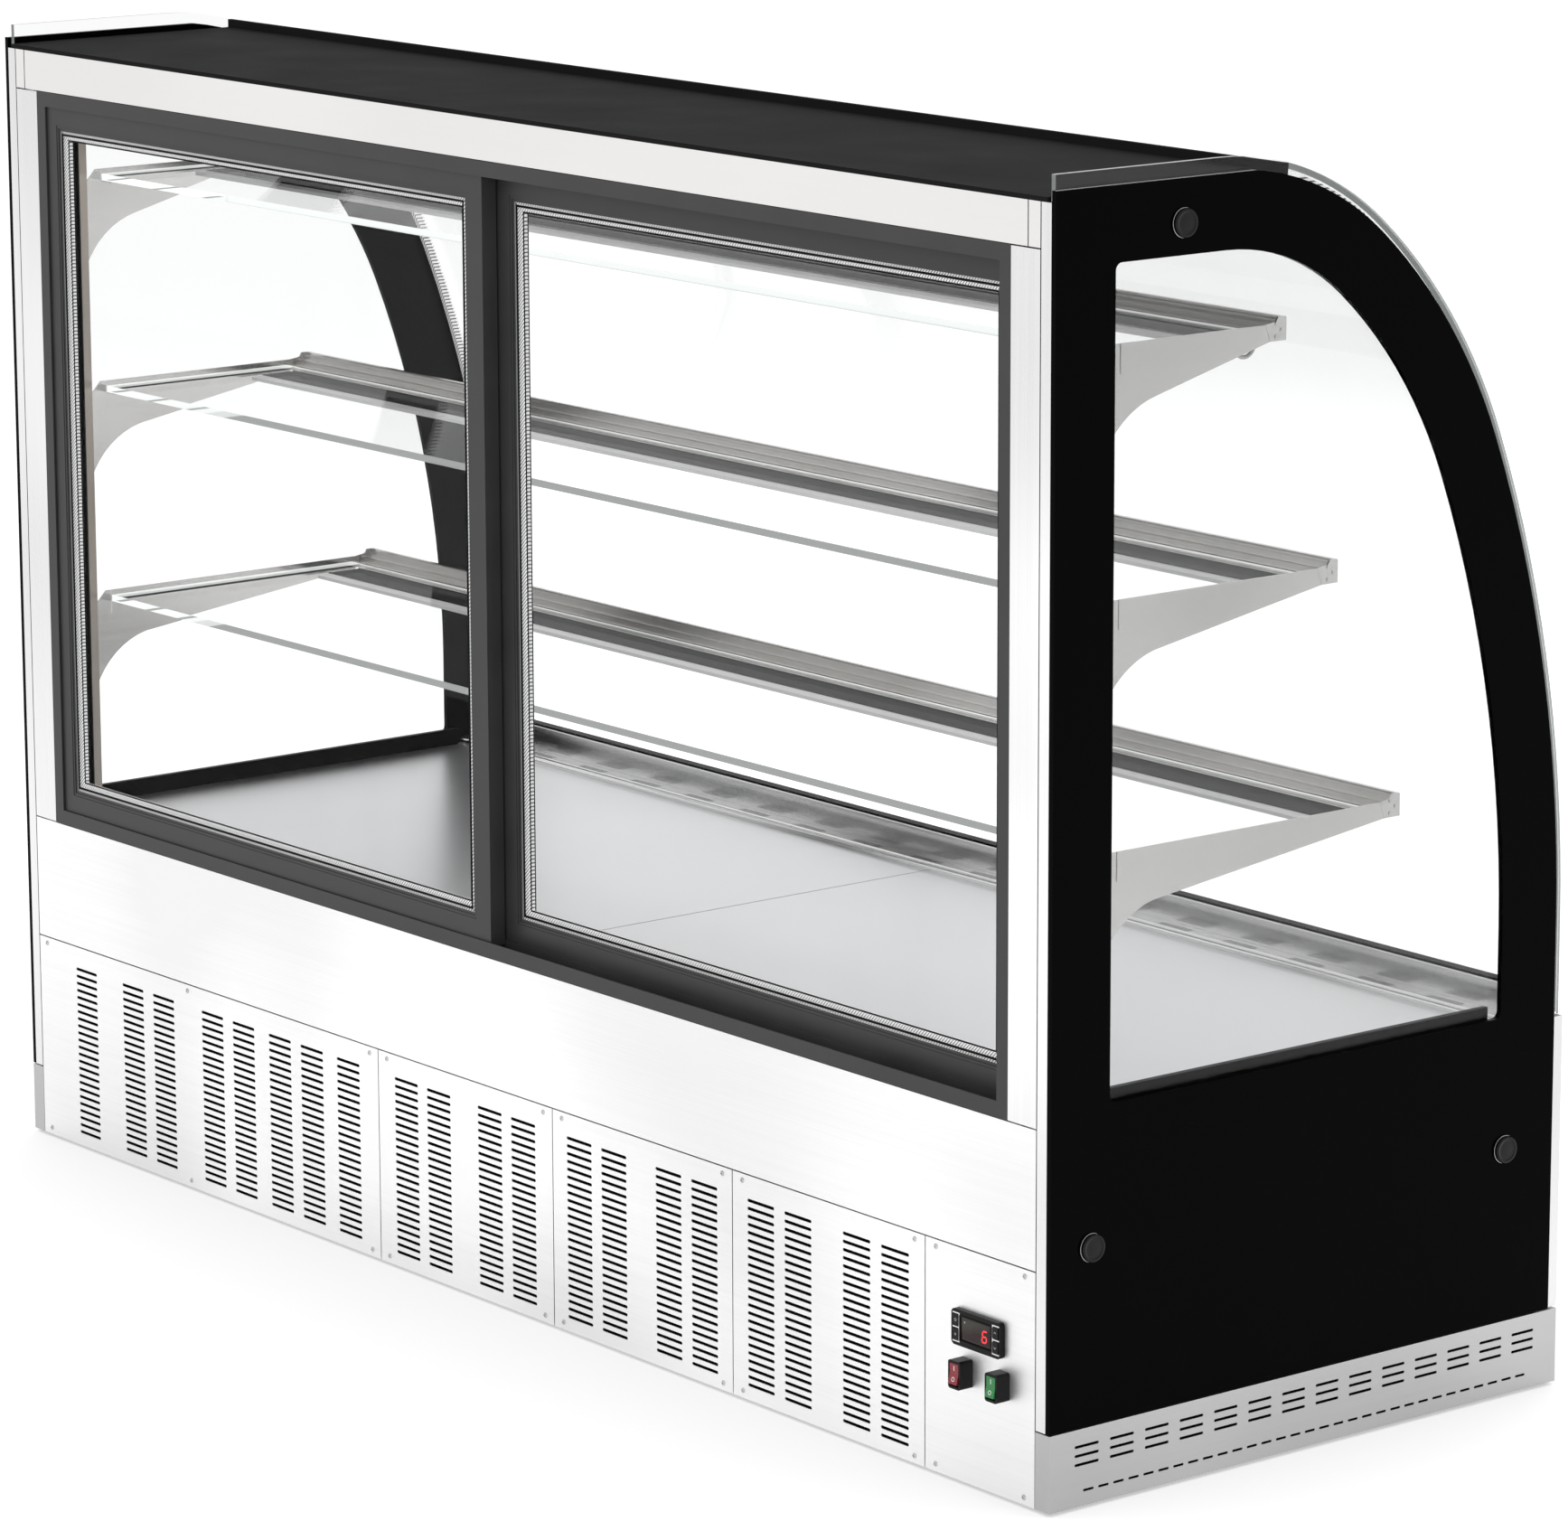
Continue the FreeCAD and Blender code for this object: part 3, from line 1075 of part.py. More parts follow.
def thermostat_body():
    """Bezel on the panel face, body behind it, and a pocket for each key."""
    x, z = from_right(DISPLAY_PLACE[0]), DISPLAY_PLACE[1]
    w, h = DISPLAY_SIZE
    bezel = block(x - w / 2, x + w / 2, -DISPLAY_RISE, 0, z - h / 2, z + h / 2)
    sides = [e for e in bezel.Edges if e.BoundBox.YLength > DISPLAY_RISE - 0.1]
    bezel = bezel.makeFillet(DISPLAY_ROUNDING, sides)
    bw, bh, bd = DISPLAY_BODY
    body = union([bezel, block(x - bw / 2, x + bw / 2, -0.5, bd, z - bh / 2, z + bh / 2)])
    ww, wh, wd = DISPLAY_WINDOW
    face = -DISPLAY_RISE
    body = body.cut(block(x - ww / 2, x + ww / 2, face - 1, face + wd, z - wh / 2, z + wh / 2))
    kw, kh = KEY_SIZE
    for _, kx, kz in key_places():
        body = body.cut(block(kx - kw / 2 - CLEAR, kx + kw / 2 + CLEAR, -DISPLAY_RISE - 1,
                              -DISPLAY_RISE + KEY_POCKET, kz - kh / 2 - CLEAR, kz + kh / 2 + CLEAR))
    return body


def thermostat_key(kx, kz):
    """One thermostat key; it has room to sink by its travel."""
    kw, kh = KEY_SIZE
    foot = -DISPLAY_RISE + KEY_POCKET - KEY_TRAVEL - CLEAR
    key = block(kx - kw / 2, kx + kw / 2, -DISPLAY_RISE - KEY_RISE, foot, kz - kh / 2, kz + kh / 2)
    sides = [e for e in key.Edges if e.BoundBox.YLength > 2]
    return key.makeFillet(KEY_ROUNDING, sides)


def switch_boots():
    """Black weather boots; each is a filleted collar with a switch body behind the panel."""
    boots = []
    w, h, rise = BOOT
    t = BOOT_WALL
    for _, place in SWITCH_PLACES:
        x = from_right(place)
        collar = block(x - w / 2, x + w / 2, -rise, 0, SWITCH_HEIGHT - h / 2, SWITCH_HEIGHT + h / 2)
        outer = [e for e in collar.Edges if e.BoundBox.YLength > rise - 0.1]
        collar = collar.makeFillet(BOOT_ROUNDING, outer)
        pocket = block(x - w / 2 + t, x + w / 2 - t, -rise - 1, -1, SWITCH_HEIGHT - h / 2 + t,
                       SWITCH_HEIGHT + h / 2 - t)
        half_w = w / 2 - t - CLEAR
        half_h = h / 2 - t - CLEAR
        body = block(x - half_w, x + half_w, -1, SWITCH_BODY, SWITCH_HEIGHT - half_h, SWITCH_HEIGHT + half_h)
        boots.append(union([collar.cut(pocket), body]))
    return group(boots)


ROCKER_PIVOT = 8.0              # pivot in front of the panel face
ROCKER_ROOT = 4.5               # back of the rocker behind its pivot


def rocker(place):
    """Rocker key with two flats that meet in a shallow valley, pressed at the top at rest."""
    x = from_right(place)
    half = BOOT[0] / 2 - BOOT_WALL - CLEAR
    reach = ROCKER_REACH
    rise = BOOT[2] - ROCKER_PIVOT + 1.5
    valley = rise - 1.4
    root = -ROCKER_ROOT
    section = ((-reach, -1.5), (-2, root), (2, root), (reach, -1.5), (reach, rise), (0, valley),
               (-reach, rise))
    tilt = math.radians(-ROCKER_TILT)
    points = []
    for z, out in section:
        turned_z = z * math.cos(tilt) - out * math.sin(tilt)
        turned_out = z * math.sin(tilt) + out * math.cos(tilt)
        points.append((-ROCKER_PIVOT - turned_out, SWITCH_HEIGHT + turned_z))
    return prism_x(x - half, x + half, points)


# ---- refrigeration --------------------------------------------------------------------------
COMPRESSOR_X = -520.0
MACHINE_DEPTH = 360.0
FAN_X = -330.0
FAN_HUB_Z = PAN_TOP + 92.0
FAN_RADIUS = 80.0


def compressor():
    """Hermetic compressor: shell, lid, feet plate and two pipe stubs."""
    x = COMPRESSOR_X
    shell = rod_z(x, MACHINE_DEPTH, PAN_TOP + 14, PAN_TOP + 150, 78)
    rims = [e for e in shell.Edges if e.Length > 2 * math.pi * 70]
    shell = shell.makeFillet(26, rims)
    plate = block(x - 100, x + 100, MACHINE_DEPTH - 80, MACHINE_DEPTH + 80, PAN_TOP + 8, PAN_TOP + 12)
    skirt = rod_z(x, MACHINE_DEPTH, PAN_TOP + 10, PAN_TOP + 30, 40)
    pieces = [shell, plate, skirt]
    for sx in (-85, 85):
        for sd in (-62, 62):
            pieces.append(rod_z(x + sx, MACHINE_DEPTH + sd, PAN_TOP, PAN_TOP + 14, 11))
    pieces.append(rod_x(x - 125, x - 60, MACHINE_DEPTH + 20, PAN_TOP + 110, 6))
    pieces.append(rod_x(x - 125, x - 60, MACHINE_DEPTH - 25, PAN_TOP + 90, 5))
    return union(pieces)


def spread(count, low, high):
    return [low + (high - low) * i / (count - 1) for i in range(count)]


def condenser():
    """Finned condenser with its fan cowl, grille bars and feet."""
    x0 = FAN_X + 70
    coil = block(x0, x0 + 60, MACHINE_DEPTH - 130, MACHINE_DEPTH + 130, PAN_TOP + 8, PAN_TOP + 186)
    pieces = [coil]
    for x in spread(3, x0 + 12, x0 + 48):
        for z in spread(5, PAN_TOP + 26, PAN_TOP + 168):
            pieces.append(rod_d(x, MACHINE_DEPTH - 142, MACHINE_DEPTH + 142, z, 4.5))
    for d in (MACHINE_DEPTH - 110, MACHINE_DEPTH + 110):
        pieces.append(block(x0 - 20, x0 + 80, d - 12, d + 12, PAN_TOP, PAN_TOP + 9))
    cowl = block(x0 - 50, x0 + 1, MACHINE_DEPTH - 126, MACHINE_DEPTH + 126, PAN_TOP + 8, PAN_TOP + 184)
    d0 = MACHINE_DEPTH - 124
    d1 = MACHINE_DEPTH + 124
    cowl = cowl.cut(block(x0 - 48, x0 + 2, d0, d1, PAN_TOP + 10, PAN_TOP + 182))
    cowl = cowl.cut(rod_x(x0 - 60, x0, MACHINE_DEPTH, FAN_HUB_Z, FAN_RADIUS + 4))
    pieces.append(cowl)
    motor = rod_x(x0 - 45, x0 + 1, MACHINE_DEPTH, FAN_HUB_Z, 24)
    pieces.append(motor)
    pieces.append(rod_x(x0 - 62, x0 - 40, MACHINE_DEPTH, FAN_HUB_Z, 4))
    return union(pieces)


def axial_fan(hub_radius, tip_radius, width, blades, bore):
    """Fan rotor about +X with pitched blades and a through bore."""
    hub = Part.makeCylinder(hub_radius, width, FreeCAD.Vector(-width / 2, 0, 0), FreeCAD.Vector(1, 0, 0))
    pieces = [hub]
    span = tip_radius - hub_radius + 2
    for i in range(blades):
        blade = Part.makeBox(width * 1.25, 2.0, span, FreeCAD.Vector(-width * 0.625, -1.0, hub_radius - 2))
        blade.rotate(FreeCAD.Vector(0, 0, 0), FreeCAD.Vector(0, 0, 1), 52)
        blade.rotate(FreeCAD.Vector(0, 0, 0), FreeCAD.Vector(1, 0, 0), i * 360.0 / blades)
        pieces.append(blade)
    rotor = union(pieces)
    bore_rod = Part.makeCylinder(bore, width * 4, FreeCAD.Vector(-width * 2, 0, 0), FreeCAD.Vector(1, 0, 0))
    trim = Part.makeCylinder(tip_radius, width * 4, FreeCAD.Vector(-width * 2, 0, 0), FreeCAD.Vector(1, 0, 0))
    return rotor.cut(bore_rod).common(trim)


def condenser_fan():
    rotor = axial_fan(26, FAN_RADIUS, 16, 5, 4.1)
    rotor.translate(FreeCAD.Vector(FAN_X + 16, row_y(MACHINE_DEPTH), FAN_HUB_Z))
    return rotor


EVAP_DEPTH = 150.0
EVAP_WIDTH = 110.0
EVAP_HALF = 420.0
EVAP_Z = TUB_FOOT + TUB_FLOOR
EVAP_FANS = (-230.0, 230.0)
EVAP_FAN_RADIUS = 32.0
EVAP_FAN_Z = EVAP_Z + 38.0
EVAP_FAN_DEPTH = EVAP_DEPTH + EVAP_WIDTH + 34.0


def evaporator():
    """Finned coil in the well, with its fan plate, motors and shafts."""
    coil = block(-EVAP_HALF, EVAP_HALF, EVAP_DEPTH, EVAP_DEPTH + EVAP_WIDTH, EVAP_Z + 6, EVAP_Z + 66)
    pieces = [coil]
    for d in spread(4, EVAP_DEPTH + 15, EVAP_DEPTH + EVAP_WIDTH - 15):
        for z in (EVAP_Z + 22, EVAP_Z + 50):
            pieces.append(rod_x(-EVAP_HALF - 20, EVAP_HALF + 20, d, z, 4.5))
    for x in (-EVAP_HALF + 10, EVAP_HALF - 20):
        pieces.append(block(x, x + 10, EVAP_DEPTH, EVAP_DEPTH + EVAP_WIDTH, EVAP_Z, EVAP_Z + 7))
    d0 = EVAP_DEPTH + EVAP_WIDTH
    plate = block(-EVAP_HALF, EVAP_HALF, EVAP_FAN_DEPTH - 1, EVAP_FAN_DEPTH + 1, EVAP_Z, EVAP_Z + 74)
    roof = block(-EVAP_HALF, EVAP_HALF, d0 - 1, EVAP_FAN_DEPTH + 1, EVAP_Z + 72, EVAP_Z + 74)
    lip = block(-EVAP_HALF, EVAP_HALF, d0 - 1, d0 + 1, EVAP_Z + 60, EVAP_Z + 74)
    for x in EVAP_FANS:
        plate = plate.cut(rod_d(x, EVAP_FAN_DEPTH - 3, EVAP_FAN_DEPTH + 3, EVAP_FAN_Z, EVAP_FAN_RADIUS + 2))
    pieces += [plate, roof, lip]
    for x in EVAP_FANS:
        pieces.append(rod_d(x, d0 - 2, d0 + 20, EVAP_FAN_Z, 17))
        pieces.append(rod_d(x, d0 + 19, EVAP_FAN_DEPTH + 10, EVAP_FAN_Z, 3))
    return union(pieces)


def evaporator_fan(x):
    rotor = axial_fan(12, EVAP_FAN_RADIUS, 12, 5, 3.1)
    rotor.rotate(FreeCAD.Vector(0, 0, 0), FreeCAD.Vector(0, 0, 1), -90)
    rotor.translate(FreeCAD.Vector(x, row_y(EVAP_FAN_DEPTH), EVAP_FAN_Z))
    return rotor


def electrical_box():
    """Wiring box behind the control panel, with a cable gland in its base."""
    x0 = from_right(60)
    box = block(x0, x0 + 110, 95, 175, PAN_TOP + 40, PAN_TOP + 150)
    box = box.cut(block(x0 + 2, x0 + 108, 97, 173, PAN_TOP + 42, PAN_TOP + 148))
    foot = block(x0, x0 + 110, 173, 175, PAN_TOP, PAN_TOP + 41)
    gland = rod_z(x0 + 55, 135, PAN_TOP + 22, PAN_TOP + 41, 9)
    gland = gland.cut(rod_z(x0 + 55, 135, PAN_TOP + 20, PAN_TOP + 45, 4.2))
    return union([box, foot, gland])


# ---- build ---------------------------------------------------------------------------------
save("base_frame", base_frame())
save("levelling_feet", levelling_feet())
save("base_pan", base_pan())
save("carcass_frame", carcass_frame())
for maker, name in ((side_skirt, "side_skirt"), (corner_post, "corner_post"), (end_panel, "end_panel"),
                    (end_outer_pane, "end_outer_pane"), (end_inner_pane, "end_inner_pane")):
    right = maker()
    save(name + "_right", right)
    save(name + "_left", mirror_x(right))
save("service_apron", service_apron())
save("top_rail", top_rail())
for number in (1, 2, 3, 4):
    save("grille_panel_" + str(number), grille_panel(number))
save("control_panel", control_panel())
save("panel_screws", panel_screws())
save("customer_panels", customer_panels())
spacer = end_spacer()
save("end_spacers", group([spacer, mirror_x(spacer)]))
save("end_screw_caps", end_screw_caps())
save("curved_front_glass", curved_front_glass())
save("top_panel", top_panel())
save("glazing_seals", glazing_seals())
save("shelf_uprights", shelf_uprights())
for name, level, tip in SHELF_LEVELS:
    save("shelf_frame_" + name, shelf_frame(level, tip))
    save("shelf_glass_" + name, shelf_glass(level, tip))
save("led_strips", led_strips())
save("insulated_tub", insulated_tub())
save("deck_trays", deck_trays())
save("air_grille_strip", air_grille_strip())
save("customer_ledge", customer_ledge())
save("door_surround", door_surround())
for name in ("left", "right"):
    save(name + "_door_frame", door_frame(name))
    save(name + "_door_glass", door_glass(name))
save("thermostat_body", thermostat_body())
for name, key_x, key_z in key_places():
    save(name, thermostat_key(key_x, key_z))
save("switch_boots", switch_boots())
for name, place in SWITCH_PLACES:
    save(name + "_rocker", rocker(place))
save("compressor", compressor())
save("condenser", condenser())
save("condenser_fan", condenser_fan())
save("evaporator", evaporator())
for name, fan_x in zip(("right", "left"), EVAP_FANS):
    save("evaporator_fan_" + name, evaporator_fan(fan_x))
save("electrical_box", electrical_box())
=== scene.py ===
"""Finishes and fine pieces of a refrigerated bakery display case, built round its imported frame.

Frame: origin on the floor at the middle of the case, +X along its length, -Y to the customer,
+Y to the service side, +Z up, in metres.
"""
import json
import logging
from dataclasses import dataclass
from enum import Enum
from functools import cached_property, reduce
from typing import Optional, Sequence

import bmesh
import bpy
import numpy as np
from mathutils import Matrix, Vector


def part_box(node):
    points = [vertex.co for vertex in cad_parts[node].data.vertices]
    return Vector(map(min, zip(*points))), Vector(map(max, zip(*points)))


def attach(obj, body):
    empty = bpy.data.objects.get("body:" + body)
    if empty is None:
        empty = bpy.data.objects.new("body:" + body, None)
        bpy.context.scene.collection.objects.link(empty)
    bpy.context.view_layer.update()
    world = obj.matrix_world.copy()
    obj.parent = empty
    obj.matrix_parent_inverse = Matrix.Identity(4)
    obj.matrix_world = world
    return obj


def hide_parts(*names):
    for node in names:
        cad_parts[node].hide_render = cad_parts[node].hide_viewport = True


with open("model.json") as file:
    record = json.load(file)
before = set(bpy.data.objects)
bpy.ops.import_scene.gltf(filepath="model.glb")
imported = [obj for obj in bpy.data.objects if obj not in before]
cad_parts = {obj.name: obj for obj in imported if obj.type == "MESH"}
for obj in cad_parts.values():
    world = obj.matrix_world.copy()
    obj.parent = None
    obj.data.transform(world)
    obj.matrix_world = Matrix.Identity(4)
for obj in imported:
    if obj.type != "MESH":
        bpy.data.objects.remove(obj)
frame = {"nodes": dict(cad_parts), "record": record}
LOG = logging.getLogger("display_case")

SERVICE_FACE = 0.355            # Y of the service side's panels
CUSTOMER_FACE = -0.355
END_FACE = 0.95                 # distance of each end's panel from the middle
CROWN = 1.35                    # height of the curved glass
TURN = 2 * np.pi

Rows = Sequence[Sequence[float]]
Tint = Sequence[float] | float
Node = bpy.types.Node
Socket = bpy.types.NodeSocket
Group = bpy.types.ShaderNodeTree


# ---- shapes as arrays ----------------------------------------------------------------------
@dataclass
class Shell:
    """Points and faces of one or more closed skins."""

    points: np.ndarray
    faces: list[tuple[int, ...]]

    def repeated(self, offsets: np.ndarray) -> "Shell":
        """One copy of the shell at each offset, given as k rows of X, Y, Z."""
        return merged([Shell(self.points + offset, self.faces) for offset in offsets])


def merged(shells: Sequence[Shell]) -> Shell:
    """Several shells in one.

    Args:
        shells: the shells, in order.

    Returns:
        A shell with the points and faces of all of them.
    """
    starts = np.cumsum([0] + [len(shell.points) for shell in shells]).tolist()
    faces = [tuple(i + start for i in face) for shell, start in zip(shells, starts) for face in shell.faces]
    return Shell(np.vstack([shell.points for shell in shells]), faces)


def loft(rings: np.ndarray, around: bool = False, capped: bool = True) -> Shell:
    """Skin over a stack of closed rings.

    Point j of ring i joins point j + 1 of the same ring and point j of ring i + 1.

    Args:
        rings: m rings of n points, an m x n x 3 array.
        around: True joins the last ring to the first instead of capping.
        capped: True closes the first and last ring with a face each.

    Returns:
        The skin as a shell.
    """
    m, n, _ = rings.shape
    i = np.arange(m if around else m - 1)[:, None]
    j = np.arange(n)[None, :]
    nxt, up = (j + 1) % n, (i + 1) % m
    quads = np.stack([i * n + j, i * n + nxt, up * n + nxt, up * n + j], -1).reshape(-1, 4)
    faces = [tuple(q) for q in quads.tolist()]
    if capped and not around:
        faces += [tuple(range(n))[::-1], tuple(range((m - 1) * n, m * n))]
    return Shell(rings.reshape(-1, 3), faces)


def mitred_ring(profile: Rows, x: Sequence[float], z: Sequence[float]) -> Shell:
    """Profile carried round a rectangle in the X-Z plane with mitred corners.

    A profile point (inset, y) sits, at each corner, inset from both sides at once.

    Args:
        profile: closed profile as (inset from the rectangle, Y) rows.
        x: low and high X of the rectangle.
        z: low and high Z of the rectangle.

    Returns:
        The ring as a shell.
    """
    p = np.asarray(profile, float)
    sx, sz = np.array([-1, 1, 1, -1.0]), np.array([-1, -1, 1, 1.0])
    cx, cz = (x[0] + x[1]) / 2, (z[0] + z[1]) / 2
    hx, hz = (x[1] - x[0]) / 2, (z[1] - z[0]) / 2
    px = cx + sx[:, None] * (hx - p[None, :, 0])
    pz = cz + sz[:, None] * (hz - p[None, :, 0])
    py = np.broadcast_to(p[None, :, 1], px.shape)
    return loft(np.stack([px, py, pz], -1), around=True)


def rounded_rectangle(width: float, height: float, radius: float, steps: int = 6) -> np.ndarray:
    """Outline of a rectangle whose corners are quarter circles.

    Each corner is its centre plus radius times (cos, sin) over its own quarter turn.

    Args:
        width: full width.
        height: full height.
        radius: corner radius.
        steps: points in each corner.

    Returns:
        An n x 2 array, anticlockwise.
    """
    turn = np.linspace(0, np.pi / 2, steps)[None] + np.arange(4)[:, None] * np.pi / 2
    sx, sy = np.array([1, -1, -1, 1.0])[:, None], np.array([1, 1, -1, -1.0])[:, None]
    u = sx * (width / 2 - radius) + radius * np.cos(turn)
    v = sy * (height / 2 - radius) + radius * np.sin(turn)
    return np.stack([u, v], -1).reshape(-1, 2)


def plate(outline: np.ndarray, rise: Sequence[tuple[float, float]]) -> np.ndarray:
    """Rings of a plate whose edge is eased, in its own (u, v, out) frame.

    Each ring is the outline scaled towards its centre by an inset, at one height.

    Args:
        outline: n x 2 closed outline.
        rise: (inset, out) of each ring, from back to front.

    Returns:
        An m x n x 3 array of rings.
    """
    middle = (outline.max(0) + outline.min(0)) / 2
    half = (outline.max(0) - outline.min(0)) / 2
    steps = np.asarray(rise, float)
    shrink = 1 - steps[:, None, :1] / half[None, None]
    flat = middle + (outline - middle)[None] * shrink
    out = np.broadcast_to(steps[:, 1][:, None, None], flat.shape[:2] + (1,))
    return np.concatenate([flat, out], -1)


def service_side(points: np.ndarray, x: float, z: float, y: float) -> np.ndarray:
    """Turns (u to the right, v up, out) into the frame, as seen from the service side.

    X is the place less u, because the reader on that side looks along -Y; Y is the face plus out.

    Args:
        points: ... x 3 array in (u, v, out).
        x: X of the plate's middle.
        z: Z of the plate's middle.
        y: Y of the face it lies on.

    Returns:
        The points in the frame.
    """
    return np.stack([x - points[..., 0], y + points[..., 2], z + points[..., 1]], -1)


def turned(profile: Rows, centre: Sequence[float], side: float, steps: int = 48) -> Shell:
    """Profile turned about an axis along X.

    A profile point (radius, out) becomes a circle of that radius, out metres from the centre.

    Args:
        profile: (radius, out) rows; the first and last radius are closed by a face.
        centre: the axis point on the face.
        side: -1 or 1, the direction of out along X.
        steps: points in each circle.

    Returns:
        The turned shell.
    """
    p = np.asarray(profile, float)
    a = np.linspace(0, TURN, steps, endpoint=False)
    y = centre[1] + p[:, :1] * np.cos(a)[None]
    z = centre[2] + p[:, :1] * np.sin(a)[None]
    x = np.broadcast_to(centre[0] + side * p[:, 1:], y.shape)
    return loft(np.stack([x, y, z], -1))


def slab(outline: Rows, back: float, front: float) -> Shell:
    """Flat outline carried straight along the third axis.

    Args:
        outline: n rows of the first and second coordinate.
        back: third coordinate of one end.
        front: third coordinate of the other end.

    Returns:
        The slab as a shell.
    """
    flat = np.asarray(outline, float)
    ends = [np.concatenate([flat, np.full((len(flat), 1), out)], -1) for out in (back, front)]
    return loft(np.stack(ends))


def long_bar(outline: Rows, half_length: float) -> Shell:
    """Closed outline of Y, Z rows carried straight along X, to the half length each way."""
    shell = slab(outline, -half_length, half_length)
    return Shell(shell.points[:, [2, 0, 1]], shell.faces)


def hoop(outer: float, inner: float, back: float, front: float, steps: int) -> Shell:
    """Flat ring of square section in (u, v, out).

    Its four rings of points are radius times (cos, sin): the outer back and front, then the
    inner front and back.

    Args:
        outer: outer radius.
        inner: inner radius.
        back: out of its back.
        front: out of its front.
        steps: points in each circle.

    Returns:
        The ring as a shell.
    """
    a = np.linspace(0, TURN, steps, endpoint=False)
    circle = np.stack([np.cos(a), np.sin(a), np.zeros(steps)], -1)
    section = ((outer, back), (outer, front), (inner, front), (inner, back))
    return loft(np.stack([circle * radius + [0, 0, out] for radius, out in section]), around=True)


# ---- node trees ----------------------------------------------------------------------------
class Tree:
    """Short calls for adding and joining the nodes of one tree."""

    def __init__(self, tree: bpy.types.NodeTree) -> None:
        """Keeps the tree."""
        self.tree = tree

    def wire(self, node: Node, inputs: dict) -> None:
        """Joins sockets to a node's inputs, or sets their values.

        Args:
            node: the node.
            inputs: value or socket of each input, by name or number.
        """
        for key, value in inputs.items():
            if isinstance(value, Socket):
                self.tree.links.new(value, node.inputs[key])
            else:
                node.inputs[key].default_value = value

    def add(self, kind: str, inputs: Optional[dict] = None, **settings: object) -> Node:
        """Adds a node.

        Args:
            kind: the node's type without its ShaderNode prefix.
            inputs: values or sockets for its inputs, by name or number.
            settings: the node's own properties.

        Returns:
            The node.
        """
        node = self.tree.nodes.new("ShaderNode" + kind)
        for key, value in settings.items():
            setattr(node, key, value)
        self.wire(node, inputs or {})
        return node

    def group(self, group: Group, inputs: dict) -> bpy.types.bpy_prop_collection:
        """Places a node group with its inputs by name, and gives its outputs."""
        return self.add("Group", inputs, node_tree=group).outputs

    def math(self, operation: str, *values: object) -> Socket:
        """One sum on up to three numbers or sockets."""
        return self.add("Math", dict(enumerate(values)), operation=operation).outputs[0]

    def ramp(self, value: object, low: float, high: float, start: object = 0.0, end: object = 1.0) -> Socket:
        """Carries the range low to high onto start to end, and holds it there."""
        return self.add("MapRange", {0: value, 1: low, 2: high, 3: start, 4: end}).outputs[0]

    def blend(self, share: object, first: object, second: object) -> Socket:
        """Mixes two colours, with that share of the second."""
        return self.add("Mix", {0: share, 6: first, 7: second}, data_type="RGBA").outputs[2]

    def noise(self, vector: object, scale: object, detail: float = 2.0) -> Socket:
        """Smooth noise from 0 to 1 at a scale in cells per metre."""
        return self.add("TexNoise", {"Vector": vector, "Scale": scale, "Detail": detail}).outputs[0]

    def seen(self, *rays: str) -> Socket:
        """1 where the light path is any of the named kinds of ray, else 0."""
        path = self.add("LightPath").outputs
        return reduce(lambda a, b: self.math("MAXIMUM", a, b), [path[f"Is {ray} Ray"] for ray in rays])


def cleared(owner: bpy.types.Material | bpy.types.World) -> bpy.types.NodeTree:
    """Turns on a new material's or world's nodes and clears them away.

    Args:
        owner: the material or world.

    Returns:
        Its empty node tree.
    """
    owner.use_nodes = True
    owner.node_tree.nodes.clear()
    return owner.node_tree


def new_group(name: str, inputs: dict, outputs: dict) -> tuple[Tree, dict, Node]:
    """Starts a shader node group.

    Args:
        name: the group's name.
        inputs: kind of socket by input name.
        outputs: kind of socket by output name.

    Returns:
        The group's tree, its inputs by name and its output node.
    """
    tree = bpy.data.node_groups.new(name, "ShaderNodeTree")
    for side, sockets in (("INPUT", inputs), ("OUTPUT", outputs)):
        for word, kind in sockets.items():
            tree.interface.new_socket(word, in_out=side, socket_type="NodeSocket" + kind)
    source = tree.nodes.new("NodeGroupInput")
    return Tree(tree), {s.name: s for s in source.outputs if s.name}, tree.nodes.new("NodeGroupOutput")


TONES = {"Vector": "Vector", "Light": "Color", "Dark": "Color", "Smooth": "Float", "Rough": "Float"}
SKIN = {"Color": "Color", "Roughness": "Float", "Height": "Float"}
MASK = {"Mask": "Float"}


